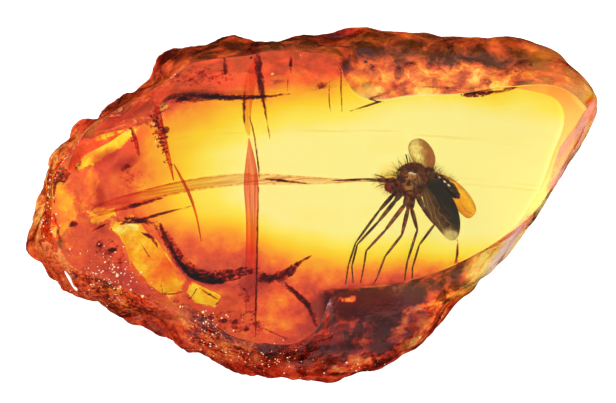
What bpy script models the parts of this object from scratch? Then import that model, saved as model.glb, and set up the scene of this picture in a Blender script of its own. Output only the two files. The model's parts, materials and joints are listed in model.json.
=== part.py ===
"""A piece of polished amber with a long-legged fly sealed in it, lying on its flat back.

Lengths are millimetres until a mesh is made. X runs along the stone, Y across it, and Z up from the flat back
to the polished front. The stone is parted at the height of the fly, so that the fly's pocket opens into both halves.
"""

import math

import bmesh
import bpy
import numpy as np
from mathutils import Vector, noise

MM = 0.001
GAP = 0.3

THICKNESS = 10.4
PARTING = 5.2
COLUMNS = 132
FLANK_HEIGHTS = (0.0, 0.1, 0.24, 0.42, 0.62, 0.82, 1.0)

WIDEST = 5.0
WIDEST_WAVE = 1.1
LOWER_BULGE = 0.88
UPPER_BULGE = 0.78

LUMP_HEIGHT = 0.42
LUMP_SIZE = 2.6
SMOOTH_SIDE_SHARE = 0.3

FLY_HEIGHT = PARTING

# The widest outline, seen from the front, anticlockwise from the right.
OUTLINE = [
    (14.25, -0.64), (14.63, 0.0), (15.46, 1.34), (16.29, 2.87), (17.38, 4.92), (18.05, 6.5), (17.9, 7.4),
    (17.25, 8.18), (15.97, 9.2), (14.31, 10.03), (12.59, 10.54), (10.8, 10.8), (9.26, 10.99), (6.39, 11.05),
    (4.09, 11.18), (2.49, 11.21), (1.34, 10.99), (0.0, 10.8), (-1.47, 10.86), (-2.3, 10.48), (-3.13, 10.35),
    (-4.86, 10.51), (-6.01, 10.41), (-7.16, 10.16), (-8.31, 9.84), (-9.39, 9.39), (-9.9, 8.94), (-9.97, 8.37),
    (-9.65, 8.05), (-10.29, 7.67), (-11.69, 6.95), (-12.33, 6.84), (-13.35, 6.2), (-14.25, 5.69),
    (-14.89, 5.11), (-15.78, 4.15), (-16.55, 3.07), (-16.93, 2.04), (-17.7, 0.0), (-18.02, -1.34),
    (-18.08, -2.3), (-17.89, -3.26), (-17.31, -4.34), (-16.55, -5.11), (-15.65, -5.69), (-14.5, -6.07),
    (-12.39, -7.03), (-11.69, -7.54), (-10.61, -7.92), (-9.77, -8.11), (-8.88, -8.75), (-7.73, -9.14),
    (-6.84, -9.33), (-6.07, -10.03), (-4.92, -10.61), (-3.96, -10.86), (-2.49, -11.05), (-0.96, -11.18),
    (0.96, -11.18), (2.17, -11.05), (3.9, -10.61), (5.17, -9.97), (7.09, -9.01), (8.05, -8.05), (8.69, -7.28),
    (9.9, -5.69), (10.48, -5.56), (11.12, -4.92), (12.52, -3.32), (13.42, -2.49), (13.29, -2.17), (13.74, -1.41),
]

# The rim of the polished front face, in the same order.
FRONT_RIM = [
    (14.25, 0.0), (15.1, 1.34), (15.9, 3.13), (16.9, 5.11), (16.9, 6.3), (15.14, 7.5), (12.39, 7.5), (9.2, 7.0),
    (6.32, 6.9), (4.09, 6.6), (2.8, 6.9), (2.1, 7.9), (1.4, 9.2), (-1.34, 9.7), (-5.17, 9.5), (-7.9, 9.0),
    (-9.2, 7.8), (-11.6, 6.5), (-14.0, 5.0), (-15.8, 2.8), (-16.6, 0.3), (-16.4, -2.0), (-15.2, -3.6),
    (-11.9, -5.3), (-9.3, -6.2), (-6.8, -7.0), (-5.5, -8.0), (-3.4, -8.8), (-0.8, -8.6), (0.6, -7.5),
    (1.3, -5.75), (3.77, -5.05), (5.69, -4.6), (8.24, -3.39), (11.44, -1.92), (13.03, -1.15),
]

# The rim of the flat back, in the same order.
SEAT_RIM = [
    (13.9, -0.3), (14.9, 1.6), (15.6, 3.4), (16.2, 5.2), (16.1, 6.4), (15.0, 7.2), (12.4, 7.6), (9.2, 7.8),
    (6.3, 8.0), (4.0, 8.0), (2.2, 7.6), (0.0, 7.2), (-2.4, 6.95), (-5.2, 6.9), (-8.6, 6.85), (-9.6, 5.6),
    (-10.2, 4.0), (-10.8, 2.0), (-10.9, 0.4), (-9.97, -0.9), (-9.0, -2.9), (-8.0, -4.2), (-6.3, -4.8),
    (-4.2, -5.05), (-1.3, -4.75), (0.6, -5.6), (4.0, -6.4), (7.0, -6.0), (10.0, -4.6), (12.5, -2.5),
]

# Shell-shaped chips in the rim: bearing in degrees, height, radius of the scoop and its depth.
CHIPS = [
    (-7.0, 3.4, 2.6, 0.45), (-14.0, 6.3, 2.2, 0.45), (13.0, 7.8, 2.4, 0.3), (27.0, 3.0, 5.0, 0.7),
    (52.0, 2.6, 4.2, 0.8), (84.0, 7.6, 2.6, 0.8), (103.0, 5.4, 3.0, 0.5), (118.0, 3.0, 3.8, 0.7),
    (139.0, 6.8, 2.4, 0.7), (149.0, 3.8, 3.4, 0.8), (158.0, 7.6, 2.8, 0.9), (167.0, 4.6, 2.2, 0.6),
    (178.0, 7.2, 2.6, 0.9), (188.0, 3.4, 3.0, 0.7), (197.0, 6.2, 2.2, 0.7), (207.0, 4.0, 3.6, 0.8),
    (219.0, 7.0, 2.8, 0.8), (229.0, 4.4, 2.2, 0.5), (243.0, 6.6, 3.0, 0.7), (262.0, 3.0, 4.4, 0.8),
    (284.0, 5.8, 3.4, 0.6), (303.0, 3.2, 4.6, 0.8), (322.0, 6.4, 5.0, 0.7), (336.0, 4.2, 2.6, 0.6),
]

# The legs: their joints from body to foot, as x, y and height above the fly's middle.
LEGS = {
    "front_near": [(5.9, 0.9, 0.2), (5.35, 0.2, 0.5), (4.28, -1.12, 0.6), (2.95, -2.56, 0.35), (2.6, -3.95, 0.2),
                   (2.68, -5.05, 0.1)],
    "front_far": [(5.8, 1.0, -0.3), (5.2, 0.55, -0.5), (4.34, -0.42, -0.6), (2.85, -2.45, -0.35),
                  (2.38, -3.9, -0.25), (2.2, -5.1, -0.2)],
    "middle_near": [(6.2, 0.7, 0.1), (5.95, -0.05, 0.35), (4.69, -1.7, 0.45), (3.51, -2.97, 0.3),
                    (3.39, -3.77, 0.2), (3.15, -5.05, 0.1)],
    "middle_far": [(6.3, 0.6, -0.2), (6.17, -0.35, -0.4), (5.78, -1.97, -0.5), (4.71, -3.34, -0.35),
                   (4.2, -4.7, -0.25), (3.98, -5.1, -0.2)],
    "hind_far": [(6.5, 0.6, -0.3), (6.4, -0.3, -0.4), (6.77, -1.65, -0.45), (6.14, -3.61, -0.3),
                 (6.0, -4.4, -0.2), (5.94, -5.25, -0.1)],
    "hind_near": [(6.7, 0.7, 0.3), (7.1, -0.2, 0.4), (7.86, -1.28, 0.5), (6.88, -2.6, 0.3), (6.45, -4.05, 0.2),
                  (6.42, -5.3, 0.1)],
}
LEG_RADII = (0.17, 0.16, 0.12, 0.10, 0.075, 0.06)
LEG_SIDES = 6

# The wings: anticlockwise outline, then the height of the wing's middle and its rise along X and along Y.
WINGS = {
    "near_wing": (
        [(7.0, 1.0), (7.3, -0.4), (7.65, -1.0), (8.1, -1.65), (8.55, -2.15), (8.95, -2.48), (9.22, -2.45),
         (9.42, -2.0), (9.55, -1.25), (9.4, -0.3), (9.0, 0.5), (8.3, 1.15), (7.4, 1.6)],
        0.55, 0.12, 0.0,
    ),
    "far_wing": (
        [(7.4, 1.7), (8.2, 0.9), (8.9, 0.1), (9.6, -0.7), (10.15, -1.1), (10.55, -0.95), (10.62, -0.45),
         (10.35, 0.3), (9.75, 1.1), (8.9, 1.75), (7.9, 2.05)],
        -0.55, -0.1, 0.0,
    ),
    "raised_lobe": (
        [(7.3, 1.8), (7.75, 2.1), (7.98, 2.7), (7.85, 3.4), (7.45, 4.0), (6.95, 4.25), (6.5, 4.05), (6.3, 3.6),
         (6.55, 2.9), (7.0, 2.2)],
        -0.2, 0.0, -0.1,
    ),
}
WING_HALF_THICKNESS = 0.07

THORAX = ((6.5, 1.45, 0.0), (1.14, 1.22, 1.0), -20.0)
HEAD = ((5.1, 1.35, 0.05), (0.56, 0.68, 0.66), 0.0)
EYE = ((4.95, 1.2, 0.42), (0.34, 0.42, 0.3), 0.0)
SCUTELLUM = ((7.45, 1.95, 0.1), (0.5, 0.42, 0.42), -35.0)
ABDOMEN = [(7.0, 1.5, -0.1), (7.9, 1.35, -0.1), (8.7, 0.95, -0.1), (9.35, 0.45, -0.12), (9.8, -0.05, -0.15)]
ABDOMEN_RADII = (0.55, 0.56, 0.5, 0.38, 0.16)
ABDOMEN_SIDES = 10
PROBOSCIS = [(5.0, 1.45, 0.0), (4.3, 1.54, 0.0), (3.2, 1.56, 0.0), (1.2, 1.5, 0.0)]
PROBOSCIS_RADII = (0.3, 0.17, 0.1, 0.045)
ANTENNA = [(6.25, 2.3, 0.2), (6.1, 2.8, 0.25), (6.02, 3.22, 0.3)]
ANTENNA_RADII = (0.07, 0.05, 0.07)

# Stained films in the stone: stations of x, y, width seen from the front, lowest and highest height.
FILM = 0.3
MAIN_CRACK = [
    (-3.5, 9.2, 0.35, 5.6, 7.9), (-3.75, 8.2, 0.7, 4.4, 8.3), (-4.0, 6.9, 0.7, 3.2, 8.5), (-4.1, 5.6, 0.5, 2.6, 8.6),
    (-3.95, 4.3, 0.25, 2.3, 8.6), (-3.85, 3.0, 0.55, 2.1, 8.6), (-3.8, 1.3, 1.1, 1.8, 8.7), (-3.78, -0.2, 0.75, 1.6, 8.8),
    (-3.8, -2.2, 0.65, 1.6, 8.8), (-3.85, -4.8, 0.8, 2.0, 8.8), (-3.75, -6.4, 0.45, 3.2, 8.5), (-3.6, -7.8, 0.2, 4.4, 7.4),
]
LOWER_STAIN = [
    (-10.6, -1.1, 0.4, 3.0, 4.85), (-9.8, -1.3, 0.45, 2.6, 4.85), (-9.15, -2.6, 0.5, 2.2, 4.85),
    (-8.5, -3.8, 0.5, 2.2, 4.85), (-7.6, -4.6, 0.55, 2.2, 4.85), (-6.4, -4.95, 0.55, 2.2, 4.85),
    (-5.3, -4.75, 0.4, 2.2, 4.85),
]
UPPER_STAIN = [
    (-9.5, 6.7, 0.5, 3.2, 4.85), (-8.4, 6.7, 0.7, 2.6, 4.85), (-7.2, 6.8, 0.5, 2.4, 4.85), (-6.2, 6.85, 0.4, 2.4, 4.85),
    (-5.3, 6.8, 0.3, 2.4, 4.85),
]

AMBER_COLOUR = (0.93, 0.42, 0.05, 1.0)
FLY_COLOUR = (0.12, 0.035, 0.015, 1.0)
STAIN_COLOUR = (0.30, 0.03, 0.012, 1.0)


def clear_scene():
    for obj in list(bpy.data.objects):
        bpy.data.objects.remove(obj, do_unlink=True)


def material(name, colour, roughness, transmission, ior):
    made = bpy.data.materials.new(name)
    made.use_nodes = True
    shader = made.node_tree.nodes["Principled BSDF"]
    shader.inputs["Base Color"].default_value = colour
    shader.inputs["Roughness"].default_value = roughness
    shader.inputs["Metallic"].default_value = 0.0
    shader.inputs["Transmission Weight"].default_value = transmission
    shader.inputs["IOR"].default_value = ior
    return made


def object_from(mesh_data, name, look=None, parent=None):
    """A new object from a bmesh in millimetres, with its faces pointing out."""
    bmesh.ops.recalc_face_normals(mesh_data, faces=mesh_data.faces)
    bmesh.ops.scale(mesh_data, vec=(MM, MM, MM), verts=mesh_data.verts)
    mesh = bpy.data.meshes.new(name)
    mesh_data.to_mesh(mesh)
    mesh_data.free()
    obj = bpy.data.objects.new(name, mesh)
    if look:
        mesh.materials.append(look)
    obj.parent = parent
    bpy.context.scene.collection.objects.link(obj)
    return obj


def closed_curve(points, steps=12):
    """The points joined by a smooth closed curve, which runs through each of them."""
    curve = []
    count = len(points)
    for i in range(count):
        before, here, there, after = (Vector(points[(i + k) % count]) for k in (-1, 0, 1, 2))
        for step in range(steps):
            t = step / steps
            curve.append(
                0.5 * (2 * here + (there - before) * t + (2 * before - 5 * here + 4 * there - after) * t**2
                       + (3 * here - before - 3 * there + after) * t**3)
            )
    return curve


def reach(curve):
    """A function from a bearing in radians to the curve's distance from the origin."""
    bearings = np.array([math.atan2(p.y, p.x) % math.tau for p in curve])
    order = np.argsort(bearings)
    lengths = np.array([p.length for p in curve])[order]
    return lambda bearing: float(np.interp(bearing % math.tau, bearings[order], lengths, period=math.tau))


def even_bearings(curve, count):
    """Bearings that part the curve into stretches of equal length."""
    closed = curve + [curve[0]]
    run = np.concatenate([[0.0], np.cumsum([(b - a).length for a, b in zip(closed, closed[1:])])])
    xs = np.interp(np.linspace(0, run[-1], count, endpoint=False), run, [p.x for p in closed])
    ys = np.interp(np.linspace(0, run[-1], count, endpoint=False), run, [p.y for p in closed])
    return [math.atan2(y, x) % math.tau for x, y in zip(xs, ys)]


def roughness_at(bearing):
    """1 on the broken left end, falling to a small share on the smoother right end."""
    left = 0.5 - 0.5 * math.cos(bearing - 0.25)
    return SMOOTH_SIDE_SHARE + (1.0 - SMOOTH_SIDE_SHARE) * left


class Flank:
    """The stone's side: its distance from the axis at any bearing and height."""

    def __init__(self):
        self.outline = closed_curve(OUTLINE)
        self.widest = reach(self.outline)
        self.front = reach(closed_curve(FRONT_RIM))
        self.seat = reach(closed_curve(SEAT_RIM))
        self.chips = []
        for degrees, height, radius, depth in CHIPS:
            bearing = math.radians(degrees)
            away = self.smooth(bearing, height) + radius - depth
            self.chips.append((Vector((away * math.cos(bearing), away * math.sin(bearing), height)), radius))

    def smooth(self, bearing, height):
        """The unbroken side: out from the flat back to the widest line, and in again to the front face."""
        ripple = noise.noise(Vector((math.cos(bearing) * 2.0, math.sin(bearing) * 2.0, 3.0)))
        widest_height = WIDEST + WIDEST_WAVE * ripple
        widest = self.widest(bearing)
        if height < widest_height:
            rim = min(self.seat(bearing), widest - 0.4)
            share = (height / widest_height) ** LOWER_BULGE
        else:
            rim = min(self.front(bearing), widest - 0.4)
            share = ((THICKNESS - height) / (THICKNESS - widest_height)) ** UPPER_BULGE
        return rim + (widest - rim) * math.sin(share * math.pi / 2)

    def point(self, bearing, height):
        """A point of the side, with its lumps and chips."""
        way = Vector((math.cos(bearing), math.sin(bearing), 0.0))
        distance = self.smooth(bearing, height)
        place = way * distance + Vector((0.0, 0.0, height))
        lumps = noise.fractal(place / LUMP_SIZE, 1.0, 2.0, 3)
        distance += LUMP_HEIGHT * roughness_at(bearing) * (lumps - 0.15)
        for centre, radius in self.chips:
            towards = centre - Vector((0.0, 0.0, height))
            along = towards.dot(way)
            half_chord = radius**2 - (towards.length_squared - along**2)
            if along > 0 and half_chord > 0:
                distance = min(distance, along - math.sqrt(half_chord))
        return way * distance + Vector((0.0, 0.0, height))


def stone_rings():
    """Rings of points from the flat back up to the front face, in two lists that part at the fly's height."""
    flank = Flank()
    bearings = even_bearings(flank.outline, COLUMNS)
    lower_top = PARTING - GAP / 2
    upper_foot = PARTING + GAP / 2
    rise = THICKNESS - upper_foot
    lower = [[flank.point(b, share * lower_top) for b in bearings] for share in FLANK_HEIGHTS]
    upper = [[flank.point(b, THICKNESS - share * rise) for b in bearings] for share in reversed(FLANK_HEIGHTS)]
    return lower, upper


def ringed_solid(rings):
    """A closed bmesh through rings of equally many points, with a flat cap on each end."""
    made = bmesh.new()
    rows = [[made.verts.new(p) for p in ring] for ring in rings]
    for below, above in zip(rows, rows[1:]):
        for i in range(len(below)):
            k = (i + 1) % len(below)
            made.faces.new((below[i], below[k], above[k], above[i]))
    made.faces.new(reversed(rows[0]))
    made.faces.new(rows[-1])
    return made


def ellipsoid(centre, radii, turn_degrees, grow=0.0, detail=3):
    made = bmesh.new()
    bmesh.ops.create_icosphere(made, subdivisions=detail, radius=1.0)
    turn = math.radians(turn_degrees)
    for vert in made.verts:
        x, y, z = (c * (r + grow) for c, r in zip(vert.co, radii))
        turned = Vector((x * math.cos(turn) - y * math.sin(turn), x * math.sin(turn) + y * math.cos(turn), z))
        vert.co = turned + Vector(centre) + Vector((0.0, 0.0, FLY_HEIGHT))
    return made


def tube(joints, radii, sides, grow=0.0):
    """A limb through its joints, whose ends run on by the growth."""
    line = [Vector(j) + Vector((0.0, 0.0, FLY_HEIGHT)) for j in joints]
    line[0] -= (line[1] - line[0]).normalized() * grow
    line[-1] += (line[-1] - line[-2]).normalized() * grow
    rings = []
    for i, place in enumerate(line):
        ahead = (line[min(i + 1, len(line) - 1)] - line[max(i - 1, 0)]).normalized()
        across = ahead.cross(Vector((0.0, 0.0, 1.0))).normalized()
        upward = across.cross(ahead)
        radius = radii[i] + grow
        turns = [math.tau * (k + 0.5) / sides for k in range(sides)]
        rings.append([place + (across * math.cos(t) + upward * math.sin(t)) * radius for t in turns])
    return ringed_solid(rings)


def grown_outline(points, grow):
    """The outline moved outwards by the growth, corner by corner."""
    moved = []
    count = len(points)
    for i in range(count):
        before, here, after = (Vector(points[(i + k) % count]) for k in (-1, 0, 1))
        normal = ((here - before).normalized() + (after - here).normalized()).normalized()
        moved.append(here + Vector((normal.y, -normal.x)) * grow)
    return moved


def plate(points, middle, rise_x, rise_y, grow=0.0):
    """A thin wing, level or tilted."""
    base = Vector(points[0])
    half = WING_HALF_THICKNESS + grow
    rings = []
    for side in (-half, half):
        ring = []
        for p in grown_outline(points, grow):
            lift = middle + (p.x - base.x) * rise_x + (p.y - base.y) * rise_y
            ring.append(Vector((p.x, p.y, FLY_HEIGHT + lift + side)))
        rings.append(ring)
    return ringed_solid(rings)


def film(stations, grow=0.0):
    """A sheet through the stone that leans from its high left edge to its low right edge."""
    rings = []
    for i, (x, y, width, low, high) in enumerate(stations):
        here = Vector((x, y, 0.0))
        before, after = (Vector((*stations[k][:2], 0.0)) for k in (max(i - 1, 0), min(i + 1, len(stations) - 1)))
        ahead = (after - before).normalized()
        if i == 0:
            here -= ahead * grow
        if i == len(stations) - 1:
            here += ahead * grow
        aside = Vector((-ahead.y, ahead.x, 0.0))
        top = here + aside * width / 2 + Vector((0.0, 0.0, high))
        foot = here - aside * width / 2 + Vector((0.0, 0.0, low))
        rise = (top - foot).normalized()
        face = rise.cross(ahead)
        half = face * (FILM / 2 + grow)
        top, foot = top + rise * grow, foot - rise * grow
        rings.append([foot - half, foot + half, top + half, top - half])
    return ringed_solid(rings)


def fly_forms(grow=0.0):
    """Every form of the fly as its own closed bmesh, each larger by the growth on all sides."""
    detail = 2 if grow else 3
    yield "thorax", ellipsoid(*THORAX, grow=grow, detail=3)
    yield "head", ellipsoid(*HEAD, grow=grow, detail=detail)
    yield "abdomen", tube(ABDOMEN, ABDOMEN_RADII, ABDOMEN_SIDES, grow)
    yield "proboscis", tube(PROBOSCIS, PROBOSCIS_RADII, LEG_SIDES, grow)
    yield "antenna", tube(ANTENNA, ANTENNA_RADII, LEG_SIDES, grow)
    for name, joints in LEGS.items():
        yield name, tube(joints, LEG_RADII, LEG_SIDES, grow)
    for name, (points, middle, rise_x, rise_y) in WINGS.items():
        yield name, plate(points, middle, rise_x, rise_y, grow)
    yield "eye", ellipsoid(*EYE, grow=grow, detail=2)
    yield "scutellum", ellipsoid(*SCUTELLUM, grow=grow, detail=2)


def united(name, forms, look=None, parent=None):
    """One object from overlapping closed forms."""
    whole = None
    for form_name, form in forms:
        piece = object_from(form, name if whole is None else form_name)
        if whole is None:
            whole = piece
            continue
        union = whole.modifiers.new("union", "BOOLEAN")
        union.operation = "UNION"
        union.solver = "EXACT"
        union.object = piece
        graph = bpy.context.evaluated_depsgraph_get()
        joined = bpy.data.meshes.new_from_object(whole.evaluated_get(graph))
        whole.modifiers.clear()
        whole.data = joined
        bpy.data.objects.remove(piece, do_unlink=True)
    whole.data.materials.clear()
    if look:
        whole.data.materials.append(look)
    whole.parent = parent
    return whole


def cut_pocket(half, pocket):
    cut = half.modifiers.new("pocket", "BOOLEAN")
    cut.operation = "DIFFERENCE"
    cut.solver = "EXACT"
    cut.object = pocket


def build():
    clear_scene()
    amber = material("clear_amber", AMBER_COLOUR, 0.05, 1.0, 1.54)
    chitin = material("fly_chitin", FLY_COLOUR, 0.35, 0.0, 1.55)
    stain = material("crack_stain", STAIN_COLOUR, 0.6, 0.0, 1.5)

    lower, upper = stone_rings()
    xs = [p.x for ring in lower + upper for p in ring]
    ys = [p.y for ring in lower + upper for p in ring]
    middle = Vector(((min(xs) + max(xs)) / 2, (min(ys) + max(ys)) / 2, 0.0))
    stone = bpy.data.objects.new("amber_piece", None)
    stone.location = -middle * MM
    bpy.context.scene.collection.objects.link(stone)

    back = object_from(ringed_solid(lower), "amber_back_half", amber, stone)
    front = object_from(ringed_solid(upper), "amber_front_half", amber, stone)
    united("fly", fly_forms(), chitin, stone)
    films = {"main_crack": MAIN_CRACK, "lower_stain": LOWER_STAIN, "upper_stain": UPPER_STAIN}
    for name, stations in films.items():
        object_from(film(stations), name, stain, stone)

    hollows = list(fly_forms(GAP)) + [(name + "_room", film(stations, GAP)) for name, stations in films.items()]
    pocket = united("pocket_form", hollows, parent=stone)
    pocket.hide_render = True
    pocket.display_type = "WIRE"
    cut_pocket(back, pocket)
    cut_pocket(front, pocket)


build()
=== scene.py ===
import functools
import json
import math
import random

import bmesh
import bpy
from mathutils import Matrix, Vector

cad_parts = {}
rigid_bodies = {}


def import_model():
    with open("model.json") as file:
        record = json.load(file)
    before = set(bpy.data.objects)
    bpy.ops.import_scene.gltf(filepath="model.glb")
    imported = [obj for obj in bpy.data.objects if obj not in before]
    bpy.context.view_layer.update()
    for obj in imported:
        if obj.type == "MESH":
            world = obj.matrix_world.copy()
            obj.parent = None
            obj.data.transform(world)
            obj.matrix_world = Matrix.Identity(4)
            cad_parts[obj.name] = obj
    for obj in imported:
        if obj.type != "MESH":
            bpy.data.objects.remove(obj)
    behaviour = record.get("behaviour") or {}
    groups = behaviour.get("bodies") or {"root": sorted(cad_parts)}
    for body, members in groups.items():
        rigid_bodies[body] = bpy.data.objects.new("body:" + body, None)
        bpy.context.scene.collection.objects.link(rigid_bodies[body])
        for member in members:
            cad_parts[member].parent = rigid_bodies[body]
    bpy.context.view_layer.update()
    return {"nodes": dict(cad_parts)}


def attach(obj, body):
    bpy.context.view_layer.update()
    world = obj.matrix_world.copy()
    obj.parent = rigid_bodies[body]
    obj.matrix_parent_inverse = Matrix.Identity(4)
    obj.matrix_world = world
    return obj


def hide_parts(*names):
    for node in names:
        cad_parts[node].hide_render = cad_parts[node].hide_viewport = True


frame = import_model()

MM = 0.001

# Heights above the flat back, and thicknesses, in millimetres.
FLY_HEIGHT = 5.2
PARTING_LEVELS = (5.05, 5.35)
TOP = 10.4
FILM_THICKNESS = 0.04
WING_THICKNESS = 0.03
PLATE_THICKNESS = 0.05

# The camera looks straight down from afar. The stone takes up this many of the picture's pixels.
STONE_LENGTH = 36.03
PICTURE_WIDTH, STONE_WIDTH_IN_PICTURE = 616, 563.5
LENS_LENGTH = 300.0
PICTURE_MIDDLE = (-0.19, 0.16)

# The fly's legs: joints from body to foot as x, y and height above the fly's middle, in millimetres.
LEGS = {
    "front_near": [(5.9, 0.9, 0.2), (5.35, 0.2, 0.5), (4.28, -1.12, 0.6), (2.95, -2.56, 0.35),
                   (2.6, -3.95, 0.2), (2.68, -5.05, 0.1)],
    "front_far": [(5.8, 1.0, -0.3), (5.2, 0.55, -0.5), (4.34, -0.42, -0.6), (2.85, -2.45, -0.35),
                  (2.38, -3.9, -0.25), (2.2, -5.1, -0.2)],
    "middle_near": [(6.2, 0.7, 0.1), (5.95, -0.05, 0.35), (4.69, -1.7, 0.45), (3.51, -2.97, 0.3),
                    (3.39, -3.77, 0.2), (3.15, -5.05, 0.1)],
    "middle_far": [(6.3, 0.6, -0.2), (6.17, -0.35, -0.4), (5.78, -1.97, -0.5), (4.71, -3.34, -0.35),
                   (4.2, -4.7, -0.25), (3.98, -5.1, -0.2)],
    "hind_far": [(6.5, 0.6, -0.3), (6.4, -0.3, -0.4), (6.77, -1.65, -0.45), (6.14, -3.61, -0.3),
                 (6.0, -4.4, -0.2), (5.94, -5.25, -0.1)],
    "hind_near": [(6.7, 0.7, 0.3), (7.1, -0.2, 0.4), (7.86, -1.28, 0.5), (6.88, -2.6, 0.3),
                  (6.45, -4.05, 0.2), (6.42, -5.3, 0.1)],
}

# The main crack and the stains at the edge of the flat back: x, y, width, lowest and highest height.
MAIN_CRACK = [
    (-3.5, 9.2, 0.35, 5.6, 7.9), (-3.75, 8.2, 0.7, 4.4, 8.3), (-4.0, 6.9, 0.7, 3.2, 8.5),
    (-4.1, 5.6, 0.5, 2.6, 8.6), (-3.95, 4.3, 0.25, 2.3, 8.6), (-3.85, 3.0, 0.55, 2.1, 8.6),
    (-3.8, 1.3, 1.1, 1.8, 8.7), (-3.78, -0.2, 0.75, 1.6, 8.8), (-3.8, -2.2, 0.65, 1.6, 8.8),
    (-3.85, -4.8, 0.8, 2.0, 8.8), (-3.75, -6.4, 0.45, 3.2, 8.5), (-3.6, -7.8, 0.2, 4.4, 7.4),
]
LOWER_STAIN = [
    (-10.6, -1.1, 0.4, 3.0, 4.85), (-9.8, -1.3, 0.45, 2.6, 4.85), (-9.15, -2.6, 0.5, 2.2, 4.85),
    (-8.5, -3.8, 0.5, 2.2, 4.85), (-7.6, -4.6, 0.55, 2.2, 4.85), (-6.4, -4.95, 0.55, 2.2, 4.85),
    (-5.3, -4.75, 0.4, 2.2, 4.85),
]
UPPER_STAIN = [
    (-9.5, 6.7, 0.5, 3.2, 4.85), (-8.4, 6.7, 0.7, 2.6, 4.85), (-7.2, 6.8, 0.5, 2.4, 4.85),
    (-6.2, 6.85, 0.4, 2.4, 4.85), (-5.3, 6.8, 0.3, 2.4, 4.85),
]
LEG_RADII = (0.20, 0.17, 0.10, 0.075, 0.06, 0.04)


# Helpers for meshes

def deselect():
    """Leave nothing selected and no object in edit mode."""
    if bpy.context.object and bpy.context.object.mode != "OBJECT":
        bpy.ops.object.mode_set(mode="OBJECT")
    bpy.ops.object.select_all(action="DESELECT")


def pick(*objects):
    """Make these objects the only selected ones, and the first the active one."""
    deselect()
    for obj in objects:
        obj.select_set(True)
    bpy.context.view_layer.objects.active = objects[0]


def edit_faces(obj):
    """Open an object in edit mode, for faces, with nothing selected."""
    pick(obj)
    bpy.ops.object.mode_set(mode="EDIT")
    bpy.ops.mesh.select_mode(type="FACE")
    bpy.ops.mesh.select_all(action="DESELECT")


def choose_faces(obj, wanted):
    """Select the faces for which wanted(centre in mm, normal) is true, in edit mode."""
    cage = bmesh.from_edit_mesh(obj.data)
    for face in cage.faces:
        face.select_set(wanted(face.calc_center_median() / MM, face.normal))
    bmesh.update_edit_mesh(obj.data)


def shift_chosen(obj, move):
    """Move each selected vertex to move(its place in mm), in edit mode."""
    cage = bmesh.from_edit_mesh(obj.data)
    for vert in cage.verts:
        if vert.select:
            vert.co = Vector(move(vert.co / MM)) * MM
    bmesh.update_edit_mesh(obj.data)


def face_out():
    """Turn the faces of the open object outwards and close edit mode."""
    bpy.ops.mesh.select_all(action="SELECT")
    bpy.ops.mesh.normals_make_consistent(inside=False)
    bpy.ops.object.mode_set(mode="OBJECT")


def add_modifier(obj, kind, **settings):
    modifier = obj.modifiers.new(kind.lower(), kind)
    for key, value in settings.items():
        setattr(modifier, key, value)
    return modifier


def smooth_over(obj, levels):
    add_modifier(obj, "SUBSURF", levels=levels, render_levels=levels)


def roughen(obj, size, strength, kind="CLOUDS", group=""):
    """Raise and lower a form with lumps of a size and by a depth in millimetres."""
    texture = bpy.data.textures.new(kind.lower(), kind)
    texture.noise_scale = size * MM
    add_modifier(obj, "DISPLACE", texture=texture, texture_coords="LOCAL", strength=strength * MM,
                 mid_level=0.5, vertex_group=group)


def apply_modifiers(obj):
    pick(obj)
    for modifier in list(obj.modifiers):
        bpy.ops.object.modifier_apply(modifier=modifier.name)


def join(parts):
    pick(*parts)
    bpy.ops.object.join()
    return parts[0]


def settle(obj, name, finish):
    """Name a finished piece, put its place in its mesh, give it its finish and let it ride."""
    apply_modifiers(obj)
    bpy.ops.object.transform_apply(location=True, rotation=True, scale=True)
    bpy.ops.object.shade_smooth_by_angle(angle=math.radians(50))
    obj.name = name
    obj.data.name = name
    obj.data.materials.clear()
    obj.data.materials.append(finish)
    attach(obj, "root")
    return obj


def ramped(value, low, high):
    return min(max((value - low) / (high - low), 0.0), 1.0)


def in_fly(x, y, rise):
    """A point of the fly, given its height above the fly's middle."""
    return Vector((x, y, FLY_HEIGHT + rise))


def limb(stations, sides=8):
    """A round form drawn out through stations of (place in mm, radius)."""
    places = [Vector(place) for place, radius in stations]
    ahead = (places[1] - places[0]).normalized()
    bpy.ops.mesh.primitive_circle_add(
        vertices=sides, radius=stations[0][1] * MM, fill_type="NGON",
        location=places[0] * MM, rotation=ahead.to_track_quat("Z", "Y").to_euler(),
    )
    made = bpy.context.object
    bpy.ops.object.transform_apply(location=True, rotation=True, scale=True)
    bpy.ops.object.mode_set(mode="EDIT")
    bpy.ops.mesh.select_all(action="SELECT")
    for number in range(1, len(places)):
        before, here = places[number - 1], places[number]
        after = places[min(number + 1, len(places) - 1)]
        onward = ((here - before).normalized() + (after - here).normalized()).normalized()
        turn = ahead.rotation_difference(onward)
        grow = stations[number][1] / stations[number - 1][1]
        bpy.ops.mesh.extrude_region_move()
        shift_chosen(made, lambda p: here + turn @ (p - before) * grow)
        ahead = onward
    face_out()
    smooth_over(made, 1)
    return made


def fly_limb(stations, sides):
    """A limb through stations of x, y, height above the fly's middle, and radius."""
    return limb([(in_fly(x, y, rise), radius) for x, y, rise, radius in stations], sides)


def blob(place, radii, turn=0.0, levels=1):
    """A rounded form at a place in mm, with its radii and its turn in degrees."""
    bpy.ops.mesh.primitive_uv_sphere_add(
        segments=16, ring_count=10, radius=MM, location=Vector(place) * MM,
        rotation=(0.0, 0.0, math.radians(turn)), scale=radii,
    )
    made = bpy.context.object
    bpy.ops.object.transform_apply(location=True, rotation=True, scale=True)
    smooth_over(made, levels)
    return made


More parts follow.
